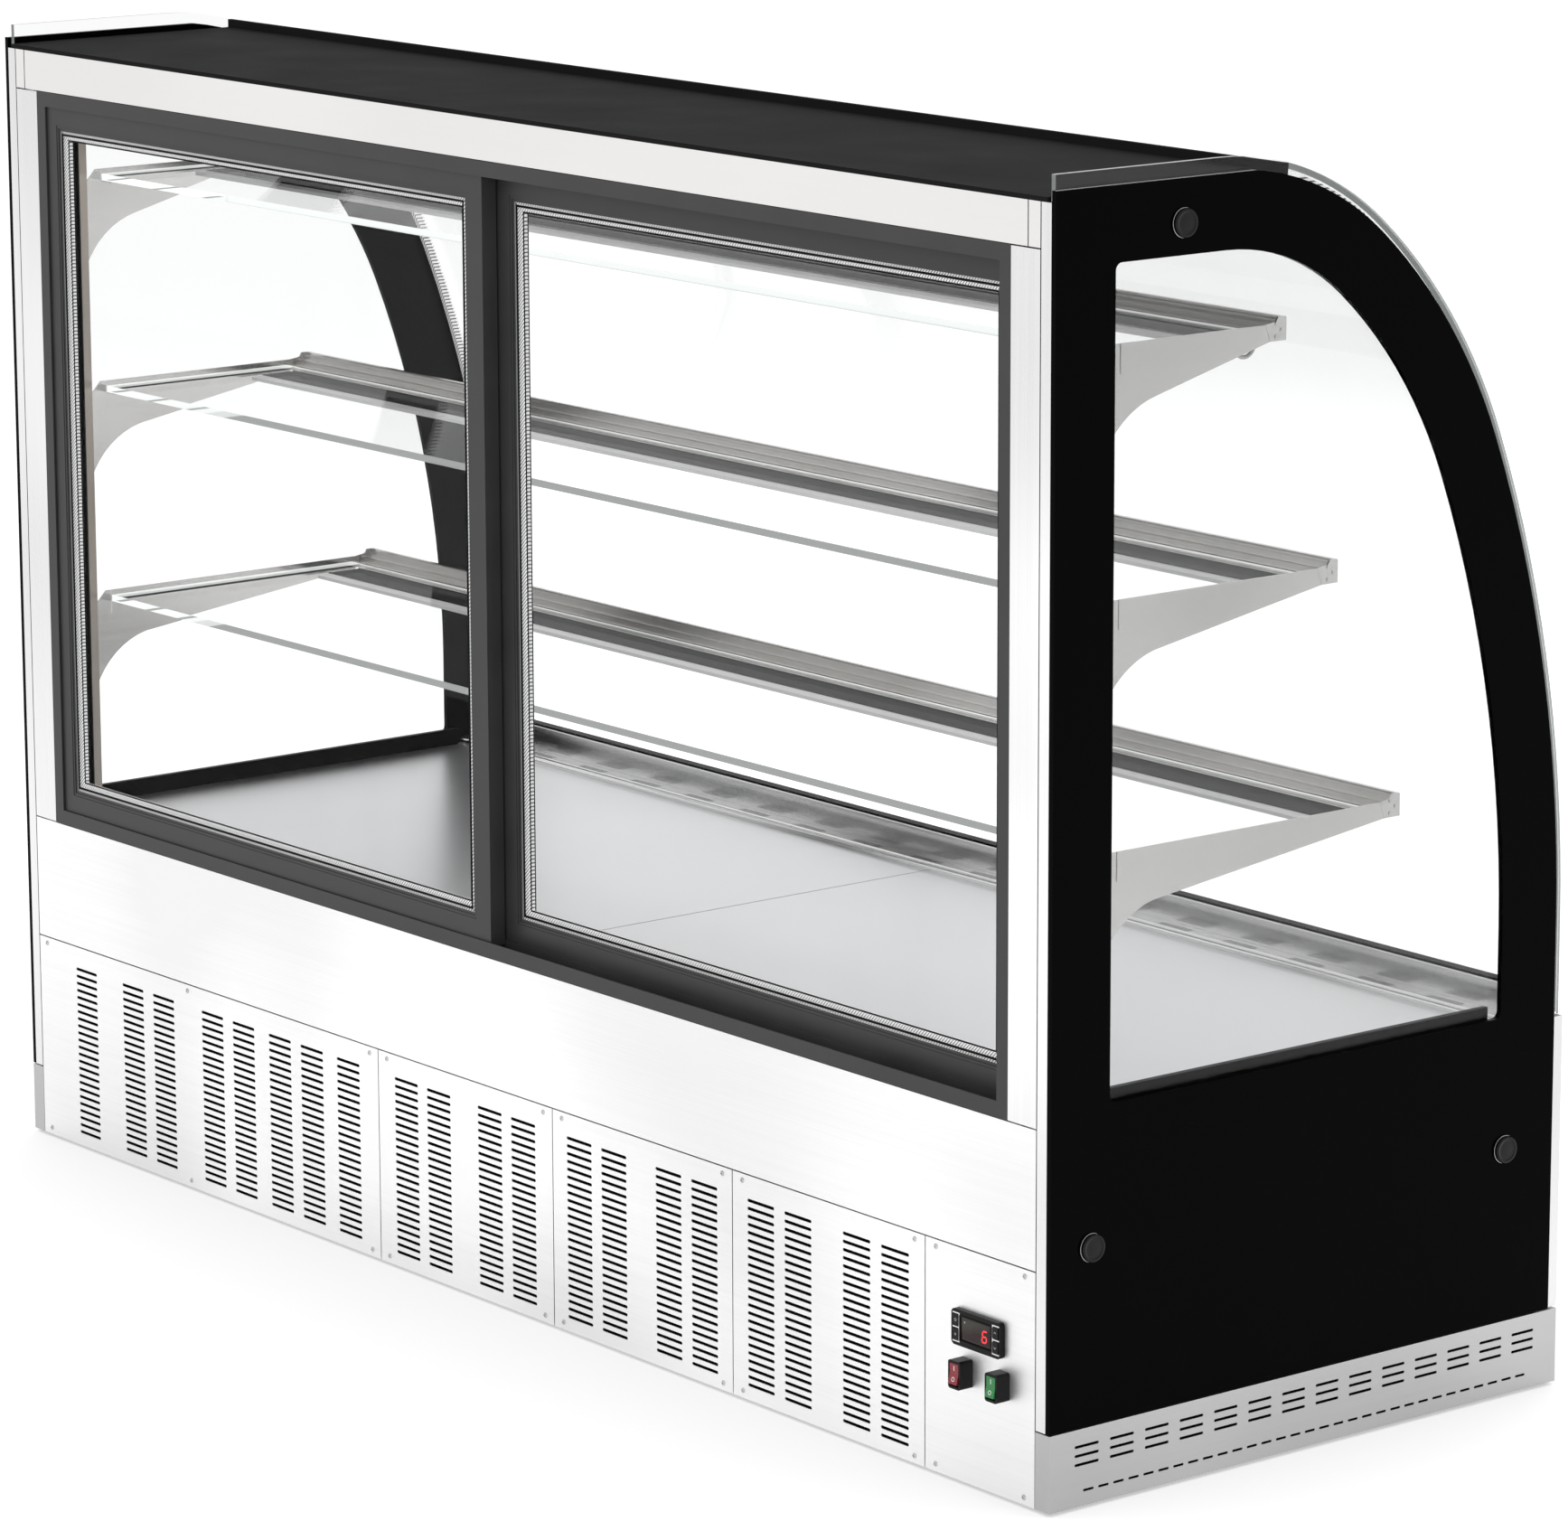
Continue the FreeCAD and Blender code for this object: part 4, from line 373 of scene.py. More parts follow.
class Effects:
    """Node groups shared by the finishes, each built the first time it is asked for."""

    @cached_property
    def grain(self) -> Group:
        """Brushed metal: noise drawn out along the brushing, with broad cloudy patches.

        Returns:
            A group giving colour, roughness and height.
        """
        t, given, sink = new_group("BrushedGrain", {**TONES, "Stretch": "Vector"}, SKIN)
        pair = {0: given["Vector"], 1: given["Stretch"]}
        drawn = t.add("VectorMath", pair, operation="MULTIPLY").outputs[0]
        fine = t.noise(drawn, 1.0, 3.0)
        broad = t.noise(drawn, 0.13, 1.0)
        cloud = t.noise(given["Vector"], 2.2, 1.0)
        lines = t.math("MULTIPLY_ADD", fine, 0.12, t.math("MULTIPLY", broad, 0.06))
        tone = t.math("MULTIPLY_ADD", cloud, 0.82, lines)
        wear = t.math("MULTIPLY_ADD", fine, 0.3, t.math("MULTIPLY", cloud, 0.7))
        t.wire(sink, {
            "Color": t.blend(t.ramp(tone, 0.38, 0.62), given["Dark"], given["Light"]),
            "Roughness": t.ramp(wear, 0.32, 0.68, given["Smooth"], given["Rough"]),
            "Height": fine,
        })
        return t.tree

    @cached_property
    def speckle(self) -> Group:
        """Moulded plastic, rubber or powder coat: a fine pebble with slow changes of tone.

        Returns:
            A group giving colour, roughness and height.
        """
        t, given, sink = new_group("FinePebble", {**TONES, "Scale": "Float"}, SKIN)
        pebble = t.noise(given["Vector"], given["Scale"], 1.0)
        cloud = t.noise(given["Vector"], 9.0, 3.0)
        mixed = t.math("MULTIPLY_ADD", pebble, 0.4, t.math("MULTIPLY", cloud, 0.6))
        t.wire(sink, {
            "Color": t.blend(t.ramp(cloud, 0.35, 0.65), given["Dark"], given["Light"]),
            "Roughness": t.ramp(mixed, 0.35, 0.65, given["Smooth"], given["Rough"]),
            "Height": pebble,
        })
        return t.tree

    @cached_property
    def wipe(self) -> Group:
        """Marks that a cloth leaves on a glossy face: wide soft arcs of slightly duller gloss.

        Returns:
            A group giving a mask.
        """
        t, given, sink = new_group("WipeMarks", {"Vector": "Vector", "Scale": "Float"}, MASK)
        soft = t.noise(given["Vector"], given["Scale"], 2.0)
        wave = {"Vector": given["Vector"], "Scale": 3.0, "Distortion": 6.0, "Detail": 2.0}
        arcs = t.add("TexWave", wave).outputs[1]
        t.wire(sink, {"Mask": t.math("MULTIPLY", t.ramp(soft, 0.45, 0.75), t.ramp(arcs, 0.3, 0.9))})
        return t.tree

    @cached_property
    def ground(self) -> Group:
        """Ground edge of a pane: 1 where the face looks along the pane, 0 on its two broad sides.

        Returns:
            A group giving a mask.
        """
        t, given, sink = new_group("GroundEdge", {"Normal": "Vector", "Across": "Vector"}, MASK)
        pair = {0: given["Normal"], 1: given["Across"]}
        along = t.add("VectorMath", pair, operation="DOT_PRODUCT").outputs[1]
        t.wire(sink, {"Mask": t.math("LESS_THAN", t.math("ABSOLUTE", along), 0.6)})
        return t.tree

    @cached_property
    def stitch(self) -> Group:
        """Row of small breaks along X plus Z, so it runs on round a frame's corner.

        Returns:
            A group giving a mask that is 1 in each break.
        """
        inputs = {"Vector": "Vector", "Pitch": "Float", "Share": "Float"}
        t, given, sink = new_group("BreakRow", inputs, MASK)
        x, _, z = t.add("SeparateXYZ", {0: given["Vector"]}).outputs
        run = t.math("DIVIDE", t.math("ADD", x, z), given["Pitch"])
        t.wire(sink, {"Mask": t.math("LESS_THAN", t.math("FRACT", run), given["Share"])})
        return t.tree


EFFECTS = Effects()


# ---- finishes ------------------------------------------------------------------------------
class Brushing(Enum):
    """Direction in which a sheet was brushed, as noise cells per metre along X, Y and Z."""

    LONG = (3.0, 700.0, 700.0)
    DEEP = (700.0, 3.0, 700.0)
    UPRIGHT = (700.0, 700.0, 3.0)
    EVEN = (260.0, 260.0, 260.0)


class Across(Enum):
    """Direction across a pane."""

    X = (1.0, 0.0, 0.0)
    Y = (0.0, 1.0, 0.0)
    Z = (0.0, 0.0, 1.0)


def shade(value: Tint) -> tuple[float, ...]:
    """A colour with its alpha, from one grey or from red, green and blue."""
    rgb = (value,) * 3 if isinstance(value, (int, float)) else tuple(value)
    return (*rgb, 1.0)


class Paint(Tree):
    """Tree of a new material, with its Principled shader, its output and its coordinates."""

    def __init__(self, name: str) -> None:
        """Starts the material.

        Args:
            name: the material's name.
        """
        self.material = bpy.data.materials.new(name)
        super().__init__(cleared(self.material))
        self.out, self.shader = self.add("OutputMaterial"), self.add("BsdfPrincipled")
        self.wire(self.out, {0: self.shader.outputs[0]})
        place = self.add("TexCoord").outputs
        self.spot, self.normal = place["Object"], place["Normal"]

    def surface(self, **inputs: object) -> None:
        """Sets the shader's inputs, with an underscore for each space in a name."""
        self.wire(self.shader, {key.replace("_", " "): value for key, value in inputs.items()})

    def relief(self, height: Socket, strength: float, distance: float) -> None:
        """Feeds a height through a Bump node into the shader's normal."""
        bump = self.add("Bump", {"Strength": strength, "Distance": distance, "Height": height})
        self.surface(Normal=bump.outputs[0])

    def coat(self, group: Group, finish: object, distance: float, more: dict) -> None:
        """Lays a surface group's colour, roughness and height on the shader.

        Args:
            group: the surface group.
            finish: the finish that has its tones, smoothness and relief.
            distance: height of the relief in metres.
            more: the group's own inputs.
        """
        skin = self.group(group, {
            "Vector": self.spot, "Light": shade(finish.light), "Dark": shade(finish.dark),
            "Smooth": finish.smooth, "Rough": finish.rough, **more,
        })
        self.surface(Base_Color=skin["Color"], Roughness=skin["Roughness"])
        self.relief(skin["Height"], finish.relief, distance)


@dataclass(frozen=True)
class Metal:
    """Sheet or cast metal with a brushed or even grain."""

    name: str
    light: Tint
    dark: Tint
    smooth: float = 0.2
    rough: float = 0.34
    brushing: Brushing = Brushing.LONG
    relief: float = 0.08

    def paint(self, t: Paint) -> None:
        """Lays on brushed grain and makes it metal."""
        t.coat(EFFECTS.grain, self, 0.0004, {"Stretch": self.brushing.value})
        t.surface(Metallic=1.0)


@dataclass(frozen=True)
class Moulding:
    """Plastic, rubber, paint or powder coat with a fine pebble."""

    name: str
    light: Tint
    dark: Tint
    smooth: float = 0.3
    rough: float = 0.45
    pebble: float = 900.0
    relief: float = 0.12
    gloss: float = 0.5

    def paint(self, t: Paint) -> None:
        """Lays on the pebble and sets the gloss."""
        t.coat(EFFECTS.speckle, self, 0.0003, {"Scale": self.pebble})
        t.surface(Specular_IOR_Level=self.gloss)


@dataclass(frozen=True)
class GlossPanel:
    """Back-painted glass: near black, very smooth, with faint wipe marks."""

    name: str
    colour: float
    marks: float
    smooth: float = 0.03
    rough: float = 0.09
    gloss: float = 0.12

    def paint(self, t: Paint) -> None:
        """Sets colour and roughness by the wipe marks.

        Args:
            t: the new material.
        """
        mask = t.group(EFFECTS.wipe, {"Vector": t.spot, "Scale": 4.0})["Mask"]
        colour = t.blend(mask, shade(self.colour), shade(self.marks))
        rough = t.ramp(mask, 0.0, 1.0, self.smooth, self.rough)
        t.surface(Base_Color=colour, Roughness=rough, Specular_IOR_Level=self.gloss)


@dataclass(frozen=True)
class ClearPane:
    """Clear glass with ground edges given a painted highlight glow; shadow and soft light pass straight
    through it.
    """

    name: str
    across: Across
    body: Sequence[float] = (0.997, 0.999, 0.998)
    edge: Sequence[float] = (0.9, 0.96, 0.94)
    edge_rough: float = 0.3
    # strength of the painted highlight glow on the ground edges
    edge_highlight_glow: float = 0.2
    mirror: float = 0.3
    index: float = 1.45
    flip: bool = False

    def paint(self, t: Paint) -> None:
        """Tells body from edge by the normal, and lets shadow and diffuse rays through.

        Args:
            t: the new material.
        """
        mask = t.group(EFFECTS.ground, {"Normal": t.normal, "Across": self.across.value})["Mask"]
        mask = t.math("SUBTRACT", 1.0, mask) if self.flip else mask
        wipe = t.group(EFFECTS.wipe, {"Vector": t.spot, "Scale": 3.0})["Mask"]
        faint = t.blend(wipe, shade(self.body), shade([c * 0.992 for c in self.body]))
        t.surface(
            Base_Color=t.blend(mask, faint, shade(self.edge)),
            Roughness=t.ramp(mask, 0.0, 1.0, 0.0, self.edge_rough),
            # painted highlight: the ground edges glow in their own colour as if lit
            Emission_Color=t.blend(mask, shade(0.0), shade(self.edge)), Emission_Strength=self.edge_highlight_glow,
            Specular_Tint=shade(self.mirror), Transmission_Weight=1.0, IOR=self.index,
        )
        clear = t.add("BsdfTransparent", {0: shade(0.985)})
        through = t.seen("Shadow", "Diffuse")
        mixed = t.add("MixShader", {0: through, 1: t.shader.outputs[0], 2: clear.outputs[0]})
        t.wire(t.out, {0: mixed.outputs[0]})


@dataclass(frozen=True)
class Finned:
    """Heat exchanger: thin bright fins with near-black gaps painted as shade, and plain sheet short of the
    first X.
    """

    name: str
    pitch: float
    axis: int
    first: float = -2.0

    def paint(self, t: Paint) -> None:
        """Rules the fins with a triangle wave along their axis.

        Args:
            t: the new material.
        """
        part = t.add("SeparateXYZ", {0: t.spot}).outputs
        wave = t.math("PINGPONG", t.math("DIVIDE", part[self.axis], self.pitch), 0.5)
        fin = t.math("MAXIMUM", t.ramp(wave, 0.18, 0.32), t.math("LESS_THAN", part[0], self.first))
        dust = t.noise(t.spot, 14.0, 3.0)
        metal = t.blend(t.ramp(dust, 0.4, 0.7), shade((0.62, 0.62, 0.6)), shade((0.42, 0.41, 0.38)))
        # painted shade: the gaps between the fins are near black and not metal
        t.surface(
            Base_Color=t.blend(fin, shade(0.02), metal), Metallic=t.math("MULTIPLY", fin, 0.9),
            Roughness=t.ramp(dust, 0.3, 0.7, 0.3, 0.5),
        )
        t.relief(fin, 0.6, 0.001)


@dataclass(frozen=True)
class SpacerBar:
    """Pale warm-edge spacer with a row of small breaths along its middle, and a painted glow that keeps it
    bright.
    """

    name: str
    pitch: float = 0.0042
    share: float = 0.4
    # strength of the painted glow that lifts the bar as if lit
    glow: float = 0.35

    def paint(self, t: Paint) -> None:
        """Darkens the breaks in the pale bar and gives the bar a painted glow.

        Args:
            t: the new material.
        """
        mask = t.group(EFFECTS.stitch, {"Vector": t.spot, "Pitch": self.pitch, "Share": self.share})["Mask"]
        grain = t.noise(t.spot, 420.0, 2.0)
        metal = t.blend(t.ramp(grain, 0.3, 0.7), shade(0.9), shade(0.98))
        # painted light: the bar glows in its own colour though it is no lamp
        t.surface(
            Base_Color=t.blend(mask, metal, shade(0.2)), Emission_Color=t.blend(mask, metal, shade(0.1)),
            Emission_Strength=self.glow, Roughness=t.ramp(grain, 0.3, 0.7, 0.32, 0.46),
        )


@dataclass(frozen=True)
class Lit:
    """Display segment that shines by itself, or print given a glow as painted light."""

    name: str
    colour: Sequence[float]
    strength: float

    def paint(self, t: Paint) -> None:
        """Sets one grainy colour as base and glow.

        Args:
            t: the new material.
        """
        grain = t.ramp(t.noise(t.spot, 1400.0, 1.0), 0.3, 0.7)
        colour = t.blend(grain, shade(self.colour), shade([c * 0.82 for c in self.colour]))
        t.surface(Base_Color=colour, Emission_Color=colour, Emission_Strength=self.strength, Roughness=0.35)


@dataclass(frozen=True)
class DisplayLens:
    """Smoked display window, dark red at the foot, with a painted grey reflection over the top."""

    name: str
    middle: tuple[float, float]
    half: tuple[float, float]
    gloss: float = 0.25

    def paint(self, t: Paint) -> None:
        """Blends the painted grey reflection into the lens's red across a slanting line.

        Args:
            t: the new material.
        """
        (x, z), (w, h) = self.middle, self.half
        part = t.add("SeparateXYZ", {0: t.spot}).outputs
        up, side = t.ramp(part[2], z - h, z + h), t.ramp(part[0], x - w, x + w)
        lean = t.math("MULTIPLY_ADD", side, 0.45, t.math("MULTIPLY", up, 0.75))
        cloud = t.noise(t.spot, 60.0, 2.0)
        mask = t.ramp(t.math("MULTIPLY_ADD", cloud, 0.12, lean), 0.62, 0.95)
        # painted reflection: grey above the slanting line, the lens's own dark red below
        colour = t.blend(mask, shade((0.022, 0.006, 0.007)), shade((0.055, 0.052, 0.042)))
        rough = t.ramp(cloud, 0.3, 0.7, 0.08, 0.16)
        t.surface(Base_Color=colour, Roughness=rough, Specular_IOR_Level=self.gloss)


THERMOSTAT = (-0.8423, 0.1685)          # X and Z of its middle
THERMOSTAT_WINDOW = (0.048, 0.025)      # width and height

FINISHES = {
    "brushed_steel": Metal("brushed_panel", 0.96, 0.8, 0.4, 0.5, Brushing.LONG, 0.006),
    "skirt_steel": Metal("brushed_skirt", 0.52, 0.44, 0.32, 0.42, Brushing.DEEP, 0.01),
    "polished_steel": Metal(
        "polished_deck", (0.81, 0.81, 0.82), (0.75, 0.75, 0.77), 0.29, 0.35, Brushing.EVEN, 0.002
    ),
    "black_glass": GlossPanel("black_backed_glass", 0.0012, 0.0022, gloss=0.02),
    "clear_glass": ClearPane("clear_pane_end", Across.X, mirror=0.06, index=1.12),
    "frame_black": Moulding("coated_frame", 0.05, 0.04, 0.38, 0.5, 1500.0, 0.08, 0.3),
    "top_black": Moulding("matt_top", 0.017, 0.014, 0.6, 0.75, 1800.0, 0.1, 0.02),
    "aluminium_bar": SpacerBar("spacer_bar"),
    "cap_black": Moulding("gloss_cap", 0.006, 0.004, 0.12, 0.2, 700.0, 0.02, 0.2),
    "seal_black": Moulding("seal_rubber", 0.006, 0.004, 0.36, 0.42, 1200.0, 0.008, 0.05),
    "shelf_metal": Metal(
        "shelf_steel", (0.62, 0.61, 0.6), (0.51, 0.5, 0.49), 0.18, 0.24, Brushing.DEEP, 0.003
    ),
    "upright_steel": Metal(
        "upright_steel", (0.46, 0.42, 0.38), (0.36, 0.32, 0.28), 0.28, 0.4, Brushing.UPRIGHT, 0.02
    ),
    "lamp_cover": Moulding("lamp_diffuser", 0.82, 0.74, 0.3, 0.4, 1100.0, 0.05),
    "zinc_steel": Metal("zinc_sheet", 0.62, 0.48, 0.3, 0.5, Brushing.EVEN),
    "tub_liner": Metal("tub_liner", 0.16, 0.1, 0.4, 0.5, Brushing.LONG),
    "foot_steel": Metal("turned_foot", 0.55, 0.42, 0.25, 0.4, Brushing.EVEN),
    "screw_steel": Metal("screw_steel", 0.62, 0.5, 0.18, 0.3, Brushing.EVEN),
    "control_plastic": Moulding("bezel_plastic", 0.008, 0.005, 0.26, 0.36, 1600.0, 0.06, 0.12),
    "key_plastic": Moulding("key_plastic", 0.014, 0.01, 0.36, 0.5, 1300.0, 0.1, 0.15),
    "boot_rubber": Moulding("boot_rubber", 0.007, 0.004, 0.26, 0.36, 1200.0, 0.08, 0.15),
    "red_plastic": Moulding(
        "red_rocker", (0.32, 0.022, 0.036), (0.27, 0.018, 0.03), 0.22, 0.32, 900.0, 0.05
    ),
    "green_plastic": Moulding(
        "green_rocker", (0.025, 0.27, 0.07), (0.02, 0.22, 0.055), 0.22, 0.32, 900.0, 0.05
    ),
    "compressor_black": Moulding("compressor_paint", 0.016, 0.01, 0.18, 0.3, 300.0, 0.2),
    "coil_metal": Finned("coil_fins", 0.0024, 1, -0.2595),
    "fan_plastic": Moulding("fan_plastic", 0.03, 0.02, 0.4, 0.55, 1000.0, 0.15),
    "box_grey": Moulding("box_plastic", 0.32, 0.27, 0.4, 0.55, 900.0, 0.12),
}

NODE_FINISHES = {
    # the rail and both posts get steel set dimmer than the service panels' as painted shade, the left post's
    # light tone lower than the right's
    "top_rail": Metal(
        "brushed_rail", (0.81, 0.8, 0.79), (0.77, 0.76, 0.75), 0.3, 0.36, Brushing.LONG, 0.004
    ),
    "corner_post_right": Metal("brushed_post", 0.88, 0.68, 0.24, 0.34, Brushing.UPRIGHT, 0.01),
    "corner_post_left": Metal("brushed_post_left", 0.82, 0.7, 0.24, 0.34, Brushing.UPRIGHT, 0.01),
    "customer_panels": Metal("brushed_front", 0.8, 0.68, 0.36, 0.46, Brushing.LONG, 0.006),
    "air_grille_strip": Metal("polished_strip", 0.76, 0.72, 0.15, 0.18, Brushing.EVEN, 0.0004),
    "customer_ledge": Metal("polished_ledge", 0.7, 0.66, 0.14, 0.17, Brushing.LONG, 0.0003),
    **{
        f"end_outer_pane_{side}": ClearPane(
            f"clear_outer_{side}", Across.X, body=(0.89, 0.895, 0.895), mirror=0.12
        )
        for side in ("right", "left")
    },
    **{
        f"{side}_door_glass": ClearPane(f"clear_pane_{side}_door", Across.Y, mirror=0.02, index=1.04)
        for side in ("left", "right")
    },
    **{
        # the shelves' ground edges carry a stronger painted highlight glow
        f"shelf_glass_{level}": ClearPane(
            f"clear_shelf_{level}", Across.Z, edge=(0.95, 0.98, 0.97), edge_rough=0.15, edge_highlight_glow=0.4,
            mirror=0.05, index=1.03,
        )
        for level in ("top", "middle", "lower")
    },
    "evaporator": Finned("evaporator_fins", 0.0036, 0),
}


# ---- putting pieces into the scene ---------------------------------------------------------
def put(name: str, data: bpy.types.ID) -> bpy.types.Object:
    """Links a new object of that name and data into the scene.

    Args:
        name: the object's name.
        data: its mesh, lamp or camera.

    Returns:
        The object.
    """
    made = bpy.data.objects.new(name, data)
    bpy.context.scene.collection.objects.link(made)
    return made


class Workshop:
    """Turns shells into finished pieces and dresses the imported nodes."""

    def __init__(self) -> None:
        """Starts with no finish built."""
        self.built: dict[str, bpy.types.Material] = {}

    def dress(self, finish: object) -> bpy.types.Material:
        """The material of a finish, built the first time it is asked for.

        Args:
            finish: the finish.

        Returns:
            Its material.
        """
        if finish.name not in self.built:
            paint = Paint(finish.name)
            finish.paint(paint)
            self.built[finish.name] = paint.material
        return self.built[finish.name]

    def piece(
        self, name: str, shell: Shell, slot: str, finish: object = None, body: str = "cabinet",
        smooth: float = 35.0, replaces: Sequence[str] = (),
    ) -> None:
        """Makes one piece: merges its doubles, turns its faces outwards, shades and dresses it.

        Args:
            name: the piece's name.
            shell: its points and faces.
            slot: the record's material slot.
            finish: its finish, where it isn't the slot's own.
            body: the body it rides on.
            smooth: largest angle in degrees between faces shaded as one.
            replaces: CAD nodes it stands for.
        """
        mesh = bpy.data.meshes.new(name)
        mesh.from_pydata(shell.points.tolist(), [], shell.faces)
        work = bmesh.new()
        work.from_mesh(mesh)
        bmesh.ops.remove_doubles(work, verts=work.verts, dist=1e-6)
        bmesh.ops.recalc_face_normals(work, faces=work.faces)
        work.to_mesh(mesh)
        work.free()
        mesh.polygons.foreach_set("use_smooth", np.ones(len(mesh.polygons), bool))
        mesh.set_sharp_from_angle(angle=np.radians(smooth))
        mesh.materials.append(self.dress(finish or FINISHES[slot]))
        made = put(name, mesh)
        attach(made, body)
        if replaces:
            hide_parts(*replaces)
        LOG.info("piece %s: %d faces on %s", name, len(mesh.polygons), body)

    def dress_nodes(self) -> None:
        """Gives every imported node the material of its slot, or its own where it has one."""
        slots = {row["node"]: row["material_slot"] for row in frame["record"]["subparts"]}
        for name, node in frame["nodes"].items():
            finish = NODE_FINISHES.get(name, FINISHES[slots[name]])
            node.data.materials.clear()
            node.data.materials.append(self.dress(finish))
            LOG.info("node %s: %s", name, finish.name)


# ---- sub-assemblies ------------------------------------------------------------------------
@dataclass
class CurvedGlass:
    """Bent customer glass: three arcs that meet with no kink, in the depth-height plane."""

    radii: tuple[float, float, float] = (1.4, 0.595, 0.34)
    breaks: tuple[float, float] = (22.0, 50.0)
    thickness: float = 0.006
    half_length: float = 0.937
    foot: float = 0.408
    crown_reach: float = 0.0917

    def centres(self) -> np.ndarray:
        """Centres of the three arcs.

        The crown arc's top is the crown; each next centre lies on the line from the last one
        through the break, at the difference of the radii.

        Returns:
            3 x 2 array of depth from the service face and height.
        """
        r1, r2, r3 = self.radii
        a1, a2 = np.radians(self.breaks)
        rise = r1 * np.sin(a1) + r2 * (np.sin(a2) - np.sin(a1)) + r3 * (1 - np.sin(a2))
        first = np.array([SERVICE_FACE - CUSTOMER_FACE - r1, CROWN - rise])
        second = first + (r1 - r2) * np.array([np.cos(a1), np.sin(a1)])
        third = second + (r2 - r3) * np.array([np.cos(a2), np.sin(a2)])
        return np.stack([first, second, third])

    def line(self, inset: float, steps: int = 40) -> np.ndarray:
        """Section of one face of the glass from foot to crown.

        Each point is its arc's centre plus (radius less inset) times (cos, sin) of its angle.

        Args:
            inset: distance inside the outer face.
            steps: points in each arc.

        Returns:
            n x 2 array of Y and Z.
        """
        centres = self.centres()
        a1, a2 = np.radians(self.breaks)
        low = np.arcsin((self.foot - centres[0, 1]) / (self.radii[0] - inset))
        top = np.arccos(self.crown_reach / (self.radii[2] - inset))
        stops = ((max(low, 0.0), a1), (a1, a2), (a2, top))
        parts = []
        for centre, radius, (start, end) in zip(centres, self.radii, stops):
            turn = np.linspace(start, end, steps)
            parts.append(centre + (radius - inset) * np.stack([np.cos(turn), np.sin(turn)], -1))
        run = np.concatenate(parts)
        if low < 0:
            run = np.concatenate([[[run[0, 0], self.foot]], run])
        return np.stack([SERVICE_FACE - run[:, 0], run[:, 1]], -1)

    def build(self, shop: Workshop) -> None:
        """Builds the sheet: outer line up, inner line down, carried along X.

        Args:
            shop: the workshop.
        """
        outline = np.concatenate([self.line(0.0), self.line(self.thickness)[::-1]])
        shop.piece(
            "curved_glass_sheet", long_bar(outline, self.half_length), "clear_glass",
            ClearPane("clear_pane_front", Across.X, body=(0.975, 0.98, 0.98), flip=True),
            smooth=20.0, replaces=["curved_front_glass"],
        )


@dataclass
class DoorGlazing:
    """Spacer bar, sealant line and gaskets of one sliding door's double glazing."""

    side: str
    height: float = 0.856
    member: float = 0.036
    glass_inset: float = 0.0305
    spacer_width: float = 0.0122
    spacer_half: float = 0.0034
    chamfer: float = 0.001
    sealant: tuple[float, float] = (0.0016, 0.0006)
    bead: float = 0.0022
    bead_rise: float = 0.0011
    seat: tuple[float, float] = (0.0004, 0.0002)

    def build(self, shop: Workshop) -> None:
        """Builds the spacer ring between the panes, its sealant line, and a gasket ring on each face.

        Each is a section carried round the door's rectangle; a gasket's section is half a wave.

        Args:
            shop: the workshop.
        """
        body = f"{self.side}_door"
        low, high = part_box(f"{body}_frame")
        x, z = (low.x, high.x), (high.z - self.height, high.z)
        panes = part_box(f"{body}_glass")
        middle = (panes[0].y + panes[1].y) / 2
        outer, inner, cut = self.glass_inset, self.glass_inset + self.spacer_width, self.chamfer
        back, front = middle - self.spacer_half, middle + self.spacer_half
        wide, thick = self.sealant
        sections = {
            "spacer": [
                (outer, back), (inner - cut, back), (inner, back + cut),
                (inner, front - cut), (inner - cut, front), (outer, front),
            ],
            "sealant": [
                (inner, front - thick), (inner + wide, front - thick), (inner + wide, front), (inner, front),
            ],
        }
        lap, sink = self.seat
        turn = np.linspace(0, np.pi, 7)
        for word, face, out in (("service", panes[1].y, 1), ("cold", panes[0].y, -1)):
            across = self.member - lap + self.bead * (1 - np.cos(turn)) / 2
            bead = np.stack([across, face + out * self.bead_rise * np.sin(turn)], -1)
            foot = [[self.member + self.bead, face - out * sink], [self.member - lap, face - out * sink]]
            sections[f"gasket_{word}"] = np.concatenate([bead, foot])
        for word, section in sections.items():
            slot = "aluminium_bar" if word == "spacer" else "seal_black"
            shop.piece(f"{body}_{word}", mitred_ring(section, x, z), slot, body=body)


